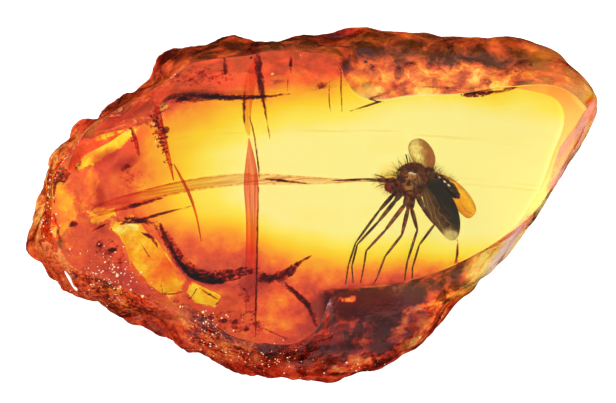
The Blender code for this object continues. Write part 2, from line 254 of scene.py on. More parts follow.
def sheet(stations, thickness, levels=2):
    """A thin sheet drawn out through stations of (left edge, right edge), in mm."""
    bpy.ops.mesh.primitive_plane_add(size=MM)
    made = bpy.context.object
    bpy.ops.object.mode_set(mode="EDIT")
    cage = bmesh.from_edit_mesh(made.data)
    corners = sorted(cage.verts, key=lambda v: (v.co.y, v.co.x))
    for vert, place in zip(corners, (*stations[0], *stations[1])):
        vert.co = Vector(place) * MM
    edge = cage.edges.get(corners[2:])
    for left, right in stations[2:]:
        for face in cage.faces:
            face.select_set(False)
        edge.select_set(True)
        bmesh.update_edit_mesh(made.data)
        bpy.ops.mesh.select_mode(type="EDGE")
        bpy.ops.mesh.extrude_region_move()
        cage = bmesh.from_edit_mesh(made.data)
        edge = next(e for e in cage.edges if e.select)
        first = min(edge.verts, key=lambda v: (v.co - corners[2].co).length)
        second = next(v for v in edge.verts if v is not first)
        first.co, second.co = Vector(left) * MM, Vector(right) * MM
        corners = [None, None, first, second]
    face_out()
    across = made.data.attributes.new("across", "FLOAT", "POINT")
    along = made.data.attributes.new("along", "FLOAT", "POINT")
    for number, pair in enumerate(stations):
        for side, place in zip((-1.0, 1.0), pair):
            nearest = min(made.data.vertices, key=lambda v: (v.co - Vector(place) * MM).length)
            across.data[nearest.index].value = side
            along.data[nearest.index].value = 0.0 if number in (0, len(stations) - 1) else 1.0
    smooth_over(made, levels)
    add_modifier(made, "SOLIDIFY", thickness=thickness * MM, offset=0.0)
    return made


def film(stations):
    """A sheet along stations of x, y, width from the front, and the heights of its right and left edges."""
    pairs = []
    for number, (x, y, width, low, high) in enumerate(stations):
        before = Vector(stations[max(number - 1, 0)][:2])
        after = Vector(stations[min(number + 1, len(stations) - 1)][:2])
        along = (after - before).normalized()
        aside = Vector((-along.y, along.x)) * width / 2
        here = Vector((x, y))
        pairs.append(((*(here + aside), high), (*(here - aside), low)))
    return sheet(pairs, FILM_THICKNESS)


def crack(points, widths, low, high):
    """A film along points of (x, y) with their widths, from one depth to another."""
    return film([(*point, width, low, high) for point, width in zip(points, widths)])


def plate(corners, height, lean=(0.0, 0.0)):
    """A flat splinter with these corners, at a height, leaning along X and Y."""
    bpy.ops.mesh.primitive_circle_add(vertices=len(corners), radius=MM, fill_type="NGON")
    made = bpy.context.object
    bpy.ops.object.mode_set(mode="EDIT")
    cage = bmesh.from_edit_mesh(made.data)
    cage.verts.ensure_lookup_table()
    middle = sum((Vector(c) for c in corners), Vector((0.0, 0.0))) / len(corners)
    for vert, corner in zip(cage.verts, corners):
        away = Vector(corner) - middle
        vert.co = Vector((*corner, height + away.x * lean[0] + away.y * lean[1])) * MM
    bmesh.update_edit_mesh(made.data)
    bpy.ops.mesh.select_all(action="SELECT")
    bpy.ops.mesh.extrude_region_move(TRANSFORM_OT_translate={"value": (0.0, 0.0, -PLATE_THICKNESS * MM)})
    face_out()
    add_modifier(made, "BEVEL", width=0.25 * PLATE_THICKNESS * MM, segments=1)
    return made


def scatter(pattern, placings):
    """Copies of a small form, each with its own mesh and a place, direction, width and length in mm."""
    copies = []
    for place, way, width, length in placings:
        copy = pattern.copy()
        copy.data = pattern.data.copy()
        bpy.context.scene.collection.objects.link(copy)
        turn = Vector(way).to_track_quat("Z", "Y").to_matrix().to_4x4()
        size = Matrix.Diagonal((width, width, length, 1.0))
        copy.matrix_world = Matrix.Translation(Vector(place) * MM) @ turn @ size
        copies.append(copy)
    bpy.data.objects.remove(pattern)
    return join(copies)


# Helpers for finishes

class Field:
    """A number that varies over a surface, as a socket that Python arithmetic can combine."""

    def __init__(self, finish, socket):
        self.finish = finish
        self.socket = socket

    def maths(self, operation, *values):
        return self.finish.node("ShaderNodeMath", {"operation": operation}, dict(enumerate(values)))[0]

    def __add__(self, other):
        return self.maths("ADD", self, other)

    __radd__ = __add__

    def __sub__(self, other):
        return self.maths("SUBTRACT", self, other)

    def __rsub__(self, other):
        return self.maths("SUBTRACT", other, self)

    def __mul__(self, other):
        return self.maths("MULTIPLY", self, other)

    __rmul__ = __mul__

    def __truediv__(self, other):
        return self.maths("DIVIDE", self, other)

    def __rtruediv__(self, other):
        return self.maths("DIVIDE", other, self)

    def __pow__(self, other):
        return self.maths("POWER", self, other)

    def least(self, other):
        return self.maths("MINIMUM", self, other)

    def most(self, other):
        return self.maths("MAXIMUM", self, other)

    def size(self):
        return self.maths("ABSOLUTE", self)

    def rise(self, low, high):
        """0 below low, 1 above high and smooth between."""
        settings = {"interpolation_type": "SMOOTHSTEP"}
        return self.finish.node("ShaderNodeMapRange", settings, {0: self, 1: low, 2: high, 3: 0.0, 4: 1.0})[0]

    def fall(self, low, high):
        return 1.0 - self.rise(low, high)


def strongest(fields):
    """The largest of several fields, place by place."""
    return functools.reduce(Field.most, fields)


class Finish:
    """A material's nodes, with places read in millimetres of the stone's own frame."""

    def __init__(self, name):
        self.material = bpy.data.materials.new(name)
        self.material.use_nodes = True
        # The faint painted glow of a piece, and the light table's glow, is seen but isn't sampled as a lamp.
        self.material.cycles.emission_sampling = "NONE"
        self.tree = self.material.node_tree
        self.tree.nodes.clear()
        where = self.node("ShaderNodeTexCoord", {}, {})
        inputs = {0: where["Object"], "Scale": 1.0 / MM}
        self.place = self.node("ShaderNodeVectorMath", {"operation": "SCALE"}, inputs)[0]
        parts = self.node("ShaderNodeSeparateXYZ", {}, {0: self.place})
        self.x, self.y, self.z = parts[0], parts[1], parts[2]
        self.normal = where["Normal"]
        self.wanderings = {}

    def node(self, kind, settings, inputs):
        """Add a node, make its settings, set or link its inputs. Gives its outputs by name and number."""
        made = self.tree.nodes.new(kind)
        for key, value in settings.items():
            if key == "stops":
                self.stops(made.color_ramp, value)
            else:
                setattr(made, key, value)
        for key, value in inputs.items():
            socket = made.inputs[key]
            if isinstance(value, Field):
                self.tree.links.new(value.socket, socket)
            else:
                socket.default_value = value
        outputs = {number: Field(self, socket) for number, socket in enumerate(made.outputs)}
        outputs.update({socket.name: Field(self, socket) for socket in made.outputs if socket.enabled})
        return outputs

    def stops(self, ramp, stops):
        while len(ramp.elements) > 1:
            ramp.elements.remove(ramp.elements[-1])
        for number, (place, colour) in enumerate(stops):
            stop = ramp.elements[0] if number == 0 else ramp.elements.new(place)
            stop.position = place
            stop.color = (*colour, 1.0)

    def ramp(self, value, *stops):
        return self.node("ShaderNodeValToRGB", {"stops": stops}, {0: value})[0]

    def mix(self, share, first, second):
        first, second = ((*c, 1.0) if isinstance(c, tuple) and len(c) == 3 else c for c in (first, second))
        return self.node("ShaderNodeMix", {"data_type": "RGBA"}, {0: share, 6: first, 7: second})[2]

    def stretched(self, scale, turn=0.0):
        """The place in a frame of its own, turned about Z by degrees and measured in steps of the scale."""
        inputs = {0: self.place, "Rotation": (0.0, 0.0, math.radians(turn)), "Scale": scale}
        return self.node("ShaderNodeMapping", {"vector_type": "TEXTURE"}, inputs)[0]

    def from_centre(self, centre, halves, turn):
        """X and Y in half widths from the centre of a shape turned about Z by degrees."""
        ahead, aside = math.cos(math.radians(turn)), math.sin(math.radians(turn))
        across = self.x * (ahead / halves[0]) + self.y * (aside / halves[0])
        along = self.x * (-aside / halves[1]) + self.y * (ahead / halves[1])
        return (across - (centre[0] * ahead + centre[1] * aside) / halves[0],
                along + (centre[0] * aside - centre[1] * ahead) / halves[1])

    def patch(self, centre, halves, turn=0.0, soft=0.25, wander=0.0):
        """1 inside an oval with these half widths, 0 outside, with a soft and wandering edge."""
        across, along = self.from_centre(centre, halves, turn)
        return self.faded(across.maths("SQRT", across * across + along * along), halves, soft, wander)

    def slab(self, centre, halves, turn=0.0, soft=0.1, wander=0.0):
        """The same as a patch, but with straight sides and corners."""
        across, along = self.from_centre(centre, halves, turn)
        return self.faded(across.size().most(along.size()), halves, soft, wander)

    def faded(self, reach, halves, soft, wander):
        """1 where the reach is under 1, fading out beyond. Shared noise moves the edge by the wander."""
        if wander:
            width = min(halves)
            size = 0.12 if width < 0.15 else 0.35 if width < 0.8 else 0.9
            if size not in self.wanderings:
                self.wanderings[size] = self.clouds(size, 4.0) - 0.5
            reach = reach + self.wanderings[size] * wander
        return reach.fall(1.0 - soft, 1.0 + soft)

    def spots(self, table, soft, wander):
        """Patches, each times its own amount, from a table of (centre, half widths, turn, amount)."""
        return [self.patch(*form, soft, wander) * amount for *form, amount in table]

    def clouds(self, size, detail=3.0, at=None, roughness=0.5, distortion=0.0):
        """Soft noise from 0 to 1 with lumps about size millimetres wide."""
        inputs = {"Vector": at or self.place, "Scale": 1.0 / size, "Detail": detail, "Roughness": roughness,
                  "Distortion": distortion}
        return self.node("ShaderNodeTexNoise", {}, inputs)[0]

    def cells(self, size):
        return self.node("ShaderNodeTexVoronoi", {}, {"Vector": self.place, "Scale": 1.0 / size})[0]

    def shards(self, size, warp):
        """Angular splinters about size millimetres wide, each with a tone of its own from 0 to 1."""
        inputs = {"Vector": self.place, "Scale": 1.0 / size, "Detail": 1.0}
        wave = self.node("ShaderNodeTexNoise", {}, inputs)["Color"]
        inputs = {0: wave, 1: (warp * size,) * 3, 2: self.place}
        bent = self.node("ShaderNodeVectorMath", {"operation": "MULTIPLY_ADD"}, inputs)[0]
        return self.node("ShaderNodeTexVoronoi", {}, {"Vector": bent, "Scale": 1.0 / size})["Color"] * 1.0

    def bump(self, height, strength, distance):
        """A relief in the shading, with distance in millimetres."""
        inputs = {"Height": height, "Strength": strength, "Distance": distance * MM}
        return self.node("ShaderNodeBump", {}, inputs)[0]

    def shader(self, **inputs):
        """The Principled shader, with its input names spelt with underscores."""
        named = {key.replace("_", " "): (*v, 1.0) if isinstance(v, tuple) and len(v) == 3 else v
                 for key, v in inputs.items()}
        return self.node("ShaderNodeBsdfPrincipled", {}, named)[0]

    def blend(self, share, first, second):
        """Two shaders mixed by a share that varies over the surface."""
        return self.node("ShaderNodeMixShader", {}, {0: share, 1: first, 2: second})[0]

    def output(self, shader):
        self.node("ShaderNodeOutputMaterial", {}, {"Surface": shader})
        return self.material

    def within(self):
        """1 along the middle of a sheet, 0 at its long edges and at its two ends."""
        across = self.node("ShaderNodeAttribute", {"attribute_name": "across"}, {})["Fac"]
        along = self.node("ShaderNodeAttribute", {"attribute_name": "along"}, {})["Fac"]
        return (1.0 - across * across) * (0.35 + 0.65 * along)

    def surface(self, **inputs):
        """The Principled shader joined to the output."""
        return self.output(self.shader(**inputs))

    def absorb(self, colour, density):
        """Let the solid take up light on the way through it."""
        volume = self.node("ShaderNodeVolumeAbsorption", {}, {"Color": (*colour, 1.0), "Density": density})[0]
        output = next(n for n in self.tree.nodes if n.type == "OUTPUT_MATERIAL")
        self.tree.links.new(volume.socket, output.inputs["Volume"])


# Finishes

# Places in the stone's finish: each has a centre, half widths, a turn in degrees and an amount.
# The paler tint on the back under the gold plates: painted glint of the plates.
PAINTED_PLATE_GLINTS = (
    ((-10.3, -3.3), (2.75, 0.8), -50.0, 0.42),
    ((-6.9, -5.8), (1.05, 0.42), -27.0, 0.42),
    ((-12.0, -1.5), (0.9, 0.35), -14.0, 0.3),
)
# Paler, yellower patches of tint; the one at (-13.2, 3.5) lies under a gold plate and paints its glint.
# Here the last number is how far the edge wanders.
GOLDEN_PATCHES = (
    ((-13.4, -0.75), (0.9, 0.45), 12.0, 0.34, 3.0),
    ((-13.2, 3.5), (2.3, 0.45), 33.0, 0.42, 1.0),
    ((-14.2, 1.0), (0.5, 1.3), -12.0, 0.14, 3.0),
    ((-16.2, 0.0), (1.0, 2.6), 0.0, 0.22, 3.0),
    ((-1.9, -6.9), (1.7, 1.5), -20.0, 0.12, 1.0),
    ((-1.6, -9.2), (1.6, 0.9), 0.0, 0.06, 1.0),
)
SHADOWS = (
    ((4.6, -7.6), (5.6, 2.5), 14.0, 0.4),
    ((3.4, -6.2), (3.4, 0.8), 6.0, 0.45),
    ((-12.4, -4.7), (2.6, 1.0), -30.0, 0.16),
    ((-1.0, -10.2), (3.5, 1.0), 0.0, 0.5),
    ((-3.4, -5.2), (1.0, 0.9), 0.0, 0.25),
    ((-12.3, 3.0), (1.6, 0.8), 30.0, 0.25),
    ((-7.4, -4.6), (2.3, 0.5), -18.0, 0.35),
    ((-10.2, 6.2), (1.8, 0.6), 15.0, 0.25),
    ((-6.5, 7.6), (3.0, 0.5), 0.0, 0.12),
)
CRUST_TONES = (
    ((8.0, 7.7), (6.5, 0.9), 2.0, 0.13),
    ((6.5, 9.9), (9.0, 0.8), -6.0, -0.13),
    ((-5.0, 10.3), (6.0, 1.1), 4.0, -0.14),
    ((-16.0, 0.0), (2.2, 4.5), 0.0, 0.24),
    ((10.7, -4.2), (1.1, 0.8), 20.0, 0.3),
    ((3.4, -8.2), (3.6, 2.8), 10.0, -0.15),
    ((3.0, -6.2), (3.4, 1.1), 6.0, -0.16),
    ((8.0, -5.4), (3.2, 1.0), 24.0, -0.10),
    ((-6.0, -8.4), (4.5, 1.8), -20.0, 0.04),
)
# Small bright spots in the crust's colour: painted glints.
PAINTED_CRUST_GLINTS = (
    ((2.1, -6.05), (0.3, 0.12), 0.0, 0.5),
    ((2.6, -5.95), (0.22, 0.18), 0.0, 0.5),
    ((7.1, -6.5), (0.9, 0.22), 10.0, 0.4),
    ((6.3, -8.8), (0.8, 0.25), 28.0, 0.42),
    ((5.6, -8.0), (0.4, 0.7), -20.0, 0.3),
    ((9.2, -5.7), (0.6, 0.25), 20.0, 0.35),
    ((3.1, -8.7), (0.6, 0.2), 0.0, 0.25),
    ((3.2, -9.9), (0.9, 0.3), 10.0, 0.25),
    ((1.5, -10.5), (0.4, 0.2), 0.0, 0.4),
)


def amber_finish():
    """Clear amber: a tint on its back for the colours within it, paler under the gold plates as their painted
    glint, a broken crust with painted glints, and a cloudy rind with a painted glow.
    """
    finish = Finish("clear_amber")
    x, y, z = finish.x, finish.y, finish.z

    # How red the light through the stone is, from yellow at 0 to dark red above 1.
    broad = finish.clouds(5.0, 2.0)
    streaks = finish.clouds(1.0, 3.0, at=finish.stretched((9.0, 1.1, 4.0), turn=4.0))
    above = (y - (x * 0.2 + 4.2).most(2.9).least(5.7) + (x - 9.0).most(0.0) * 0.15) / 6.2
    below = ((x * -0.25 - 1.95).most(x * -0.6 - 2.65).most(-2.3).least(0.1) + 0.5 - y) / 4.4
    left = (-4.4 - x) / 11.0
    upright = above.most(below).most(0.0)
    sideways = left.most(0.0)
    warmth = (upright * upright + sideways * sideways) ** 0.5
    warmth = (warmth + (broad - 0.5) * 0.35 + (streaks - 0.5) * 0.12).least(0.84)
    warmth = warmth + (finish.clouds(1.6, 4.0, roughness=0.65) - 0.46) * warmth.rise(0.4, 0.8) * 1.1
    # Where these golden places lie under the gold plates, the paler tint paints the plates' glint.
    golden = [(finish.slab(*form, 0.07, 0.35), cooler) for *form, cooler in PAINTED_PLATE_GLINTS]
    golden += [(finish.patch(*form, 0.15, wander), cooler) for *form, cooler, wander in GOLDEN_PATCHES]
    for place, cooler in golden:
        warmth = warmth - place * cooler
    bare = strongest([place for place, cooler in golden])
    shadows = finish.spots(SHADOWS, 0.6, 0.9)
    warmth = sum(shadows, warmth)
    shade = strongest(shadows)
    tint = finish.ramp(
        warmth / 2.0,
        (0.0, (0.66, 0.74, 0.17)),
        (0.10, (0.66, 0.64, 0.018)),
        (0.17, (0.66, 0.45, 0.001)),
        (0.25, (0.65, 0.17, 0.0005)),
        (0.33, (0.60, 0.045, 0.0009)),
        (0.42, (0.47, 0.009, 0.0014)),
        (0.54, (0.20, 0.002, 0.0014)),
        (0.70, (0.06, 0.001, 0.001)),
        (0.95, (0.012, 0.0005, 0.0005)),
    )

    # The broken flanks, and the strips beside them at the foot of the window and at its right end.
    facing = finish.node("ShaderNodeSeparateXYZ", {}, {0: finish.normal})[2]
    flank = facing.size().fall(0.86, 0.985)
    upper = z.rise(4.2, 5.8)
    foot = (x * 0.064 - 5.39).most(x * 0.2 - 6.0).most(x * 0.316 - 6.72).most(x * 0.36 - 7.1) - y
    foot = foot.rise(-0.03, 0.14) * x.rise(0.3, 1.0) * x.fall(9.5, 11.0)
    past_end_line = x - (y * 0.33 + 14.4).most(y * 0.705 + 13.07)
    end_strip = past_end_line.rise(0.0, 0.2) * y.rise(0.5, 1.3) * y.fall(6.2, 7.2)
    flank = flank.most(foot.most(end_strip) * upper)

    # The crust's colours, from dark grime to bright chips, with painted glints.
    grime = finish.clouds(1.6, 4.0, roughness=0.62, distortion=0.4)
    glow = sum(finish.spots(CRUST_TONES, 0.5, 0.4) + finish.spots(PAINTED_CRUST_GLINTS, 0.9, 3.5), grime)
    chips = finish.shards(1.5, 1.3) * 0.55 + finish.shards(0.6, 1.0) * 0.45
    glow = glow + (chips - 0.5) * 0.42 * finish.patch((7.0, 7.7), (8.0, 1.6), 4.0).most(
        finish.patch((4.0, -8.0), (8.0, 4.0), 14.0))
    grit = finish.clouds(0.22, 3.0, roughness=0.7)
    gritty = strongest([
        finish.patch((-16.2, 0.5), (2.0, 5.0), 0.0, 0.6),
        finish.patch((-13.0, -5.0), (4.0, 1.6), -32.0, 0.6),
        finish.patch((-5.5, -8.8), (3.0, 1.2), -28.0, 0.6),
    ])
    glow = glow + (grit - 0.5) * 1.3 * gritty
    crust = finish.ramp(
        glow,
        (0.32, (0.02, 0.002, 0.001)),
        (0.42, (0.12, 0.008, 0.004)),
        (0.52, (0.45, 0.02, 0.006)),
        (0.62, (0.85, 0.07, 0.01)),
        (0.72, (1.0, 0.26, 0.02)),
        (0.82, (1.0, 0.58, 0.06)),
        (0.95, (1.0, 0.80, 0.2)),
    )
    end_facet = x.rise(12.8, 14.2) * y.fall(6.4, 8.0)
    crust = finish.mix(end_facet, crust, (0.86, 0.34, 0.22))
    crust = finish.mix(x.rise(16.8, 17.4), crust, (0.95, 0.36, 0.12))
    red_corner = x.rise(13.5, 15.5) * y.rise(6.3, 7.2)
    crust = finish.mix(red_corner * grime.fall(0.42, 0.62), crust, (0.80, 0.10, 0.03))
    shards = finish.clouds(1.0, 4.0, at=finish.stretched((2.2, 0.35, 1.0), turn=58.0), roughness=0.6)
    torn_edge = finish.patch((13.0, -1.4), (4.6, 1.5), 60.0, 0.4, 0.5)
    grey_edge = finish.patch((12.2, -3.2), (2.6, 0.5), 56.0, 0.5, 0.3)
    crust = finish.mix(torn_edge, crust, finish.ramp(
        shards, (0.36, (0.55, 0.16, 0.03)), (0.44, (0.95, 0.62, 0.12)), (0.54, (1.0, 0.92, 0.42)),
        (0.64, (0.95, 0.55, 0.3))))
    crust = finish.mix(grey_edge * shards.rise(0.35, 0.5), crust, (0.62, 0.5, 0.55))
    colour = finish.mix(upper, tint, finish.mix(flank, (0.99, 0.93, 0.62), crust))

    broken = flank * upper * (1.0 - end_facet * 0.7)
    relief = finish.bump(grime + grit * 0.25, 0.45, 0.3)
    level = finish.node("ShaderNodeNewGeometry", {}, {})["Normal"]
    clear = finish.shader(
        Base_Color=colour,
        Roughness=broken * (0.02 + 0.12 * grit) + 0.012,
        IOR=1.54,
        Transmission_Weight=1.0,
        Normal=finish.mix(broken, level, relief),
    )

    # The cloudy rind lies over the flanks and scatters light. Its glow is painted light, standing in for that
    # scattered light, brightest on the lower flanks toward the back and at the right end.
    rind_tone = finish.ramp(
        glow,
        (0.34, (0.05, 0.004, 0.002)),
        (0.46, (0.30, 0.02, 0.008)),
        (0.56, (0.75, 0.08, 0.02)),
        (0.68, (1.0, 0.22, 0.03)),
        (0.82, (1.0, 0.55, 0.12)),
    )
    under = (1.0 - upper) * y.rise(-2.0, 4.0)
    under_end = (1.0 - upper) * x.rise(11.0, 12.5)
    end_tone = finish.mix(y.rise(4.6, 8.2), (1.0, 0.86, 0.28), (1.0, 0.34, 0.03))
    under_tone_and_painted_glow = finish.mix(under_end, (1.0, 0.12, 0.05), end_tone)
    skin = finish.mix(under_end, rind_tone, under_tone_and_painted_glow)
    skin = finish.mix(end_strip * upper, skin, (0.85, 0.40, 0.32))
    painted_rind_glow = finish.mix(0.7, rind_tone, (0.0, 0.0, 0.0))
    rind = finish.shader(
        Base_Color=finish.mix(grey_edge, skin, (0.62, 0.46, 0.47)),
        Roughness=0.3,
        # Painted glow: the rind's tone, dimmed, and the bright under tone on the lower flanks.
        Emission_Color=finish.mix(under.most(under_end), painted_rind_glow, under_tone_and_painted_glow),
        Emission_Strength=0.85,
        Normal=finish.mix(broken, level, relief),
    )
    clouded = 0.16 + 0.22 * upper + 0.45 * under + (finish.clouds(0.9, 3.0) - 0.5) * 1.4
    clouded = clouded * flank * (1.0 - end_facet) * (1.0 - torn_edge * 0.8)
    clouded = clouded * z.rise(0.2, 0.7) * (1.0 - bare * 0.9) * (1.0 - shade * 1.2)
    clouded = clouded.most(under_end * flank * 0.9).most(end_strip * upper * shards.rise(0.3, 0.6) * 0.75)
    clouded = clouded.most(grey_edge * upper * shards.rise(0.35, 0.55) * 0.8)
    finish.output(finish.blend(clouded.most(0.0).least(0.85), clear, rind))
    finish.absorb((1.0, 0.72, 0.25), 40.0)
    return finish.material


def smudge_finish(name, colour, grain, cover, ragged=4.5, thin_left=0.0):
    """Dark dirt in a crack: flecks and threads that colour the light, and thin out at the sheet's edges."""
    finish = Finish(name)
    lumps = finish.clouds(grain, 6.0, roughness=0.65, distortion=0.5)
    threads = finish.clouds(1.0, 4.0, at=finish.stretched((0.5, 0.12, 0.5), turn=20.0))
    body = finish.within() * cover + (lumps * 0.7 + threads * 0.3 - 0.5) * ragged
    body = body - finish.x.fall(-9.0, -7.4) * thin_left
    deep = tuple(c * 0.12 for c in colour)
    tone = finish.ramp(body, (0.15, (1.0, 1.0, 1.0)), (0.5, colour), (0.95, deep))
    return finish.surface(Base_Color=tone, Roughness=0.0, IOR=1.0, Transmission_Weight=1.0)


def halo_finish(name, colour, cover):
    """Resin stained softly, most in the middle of the sheet."""
    finish = Finish(name)
    body = finish.within() * cover + (finish.clouds(1.2, 4.0) - 0.5) * 0.5
    tone = finish.mix(body.rise(0.1, 1.0), (1.0, 1.0, 1.0), colour)
    return finish.surface(Base_Color=tone, Roughness=0.0, IOR=1.0, Transmission_Weight=1.0)


def veil_finish(name, dark, light, grain=0.8, along=None, ior=1.0, fade=None):
    """A thin flaw that colours the light behind it, mottled between two colours; it can fade along Y."""
    finish = Finish(name)
    at = finish.stretched(*along) if along else None
    mottle = finish.clouds(1.0 if along else grain, 5.0, at=at, roughness=0.6)
    tone = finish.mix(mottle.rise(0.38, 0.62), dark, light)
    if fade:
        tone = finish.mix(finish.y.rise(*fade), (0.93, 0.85, 0.8), tone)
    return finish.surface(Base_Color=tone, Roughness=0.02, IOR=ior, Transmission_Weight=1.0)


def chitin_finish(name, dark, light, shine=0.3, grain=0.35, painted_highlights=()):
    """The fly's skin: mottled brown, finely pitted, with a low shine and a few bright painted highlights that
    glow.
    """
    finish = Finish(name)
    mottle = finish.clouds(grain, 4.0)
    pits = finish.cells(0.06)
    glow = {}
    if painted_highlights:
        # White patches that glow: painted highlights.
        painted_highlight = strongest([finish.patch(place, (0.1, 0.045), -35.0, 0.5, 1.0) for place in painted_highlights])
        tone = finish.mix(painted_highlight, (0.0, 0.0, 0.0), (1.0, 0.97, 0.9))
        glow = {"Emission_Color": tone, "Emission_Strength": 0.8}
    return finish.surface(
        Base_Color=finish.mix(mottle.rise(0.4, 0.66), dark, light),
        Roughness=0.28 + 0.3 * mottle,
        Normal=finish.bump(pits + mottle, 0.5, 0.02),
        Coat_Weight=shine,
        Coat_Roughness=0.15,
        **glow,
    )


def thorax_finish():
    """Dark brown with fine grooves, a golden patch on the near side that is a painted highlight of light from
    above, and a glowing painted highlight.
    """
    finish = Finish("fly_thorax")
    mottle = finish.clouds(0.4, 5.0, roughness=0.6)
    # A golden patch on the near side: a painted highlight of light from above.
    golden = finish.patch((6.35, 1.75), (0.5, 0.3), -25.0, 0.5, 1.6).most(
        finish.patch((6.2, 1.1), (0.28, 0.42), 15.0, 0.5, 1.6) * 0.85)
    golden = golden * finish.clouds(0.3, 5.0).rise(0.36, 0.6)
    base = finish.mix(mottle.rise(0.38, 0.7), (0.03, 0.01, 0.005), (0.26, 0.09, 0.03))
    grooves = finish.clouds(1.0, 3.0, at=finish.stretched((0.12, 1.2, 1.2), turn=35.0))
    # A bright streak that glows: a painted highlight.
    painted_highlight = finish.patch((6.42, 1.95), (0.28, 0.06), -14.0, 0.5, 1.6)
    return finish.surface(
        Base_Color=finish.mix(golden, base, (0.95, 0.52, 0.12)),
        Emission_Color=finish.mix(painted_highlight, (0.0, 0.0, 0.0), (1.0, 0.9, 0.6)),
        Emission_Strength=0.6,
        Roughness=0.25 + 0.3 * mottle,
        Normal=finish.bump(mottle + grooves * 0.6, 0.6, 0.04),
        Coat_Weight=0.3,
        Coat_Roughness=0.12,
    )


def wing_finish(name, root, first, last, tones, vein_tone, veins, cover, clear=0.0, tip=None, mottled=0.9):
    """A wing: its veins fan out from the root between two bearings, in degrees, and its tones follow them."""
    finish = Finish(name)
    across, along = finish.x - root[0], finish.y - root[1]
    bearing = across.maths("ARCTAN2", along, across)
    share = (bearing - math.radians(first)) / math.radians(last - first)
    fan = share * veins + (finish.clouds(1.2, 4.0) - 0.5) * 2.4
    vein = fan.maths("PINGPONG", fan, 0.5).fall(0.015, 0.08) * share.fall(0.3, 0.9) * (1.0 if veins else 0.0)
    mottle = finish.clouds(0.35, 5.0)
    colour = finish.mix((share + (mottle - 0.5) * mottled).rise(0.2, 0.8), *tones)
    side = finish.node("ShaderNodeAttribute", {"attribute_name": "across"}, {})["Fac"]
    rim = (side.size() + (mottle - 0.5) * 0.6).rise(0.5, 1.0) * (clear * 0.8)
    colour = finish.mix(rim, colour, vein_tone)
    body = cover[0] + (cover[1] - cover[0]) * share.rise(0.2, 0.7) + (mottle - 0.5) * 0.3
    if tip:
        pale = finish.patch(tip[0], tip[1], tip[2], 0.4, 0.3)
        body = body - pale * 0.6
        colour = finish.mix(pale, colour, (0.62, 0.34, 0.1))
    return finish.surface(
        Base_Color=finish.mix(vein, colour, vein_tone),
        Roughness=0.02 if clear else 0.35,
        IOR=1.0 if clear else 1.45,
        Transmission_Weight=clear,
        Alpha=body.most(vein * 0.85),
        Normal=finish.bump(vein, 0.4, 0.02),
    )


def plain_finish(name, colour, roughness=0.4, **more):
    finish = Finish(name)
    shade = finish.clouds(0.3, 3.0)
    darker = tuple(c * 0.6 for c in colour)
    return finish.surface(Base_Color=finish.mix(shade, darker, colour), Roughness=roughness, **more)


# The stone

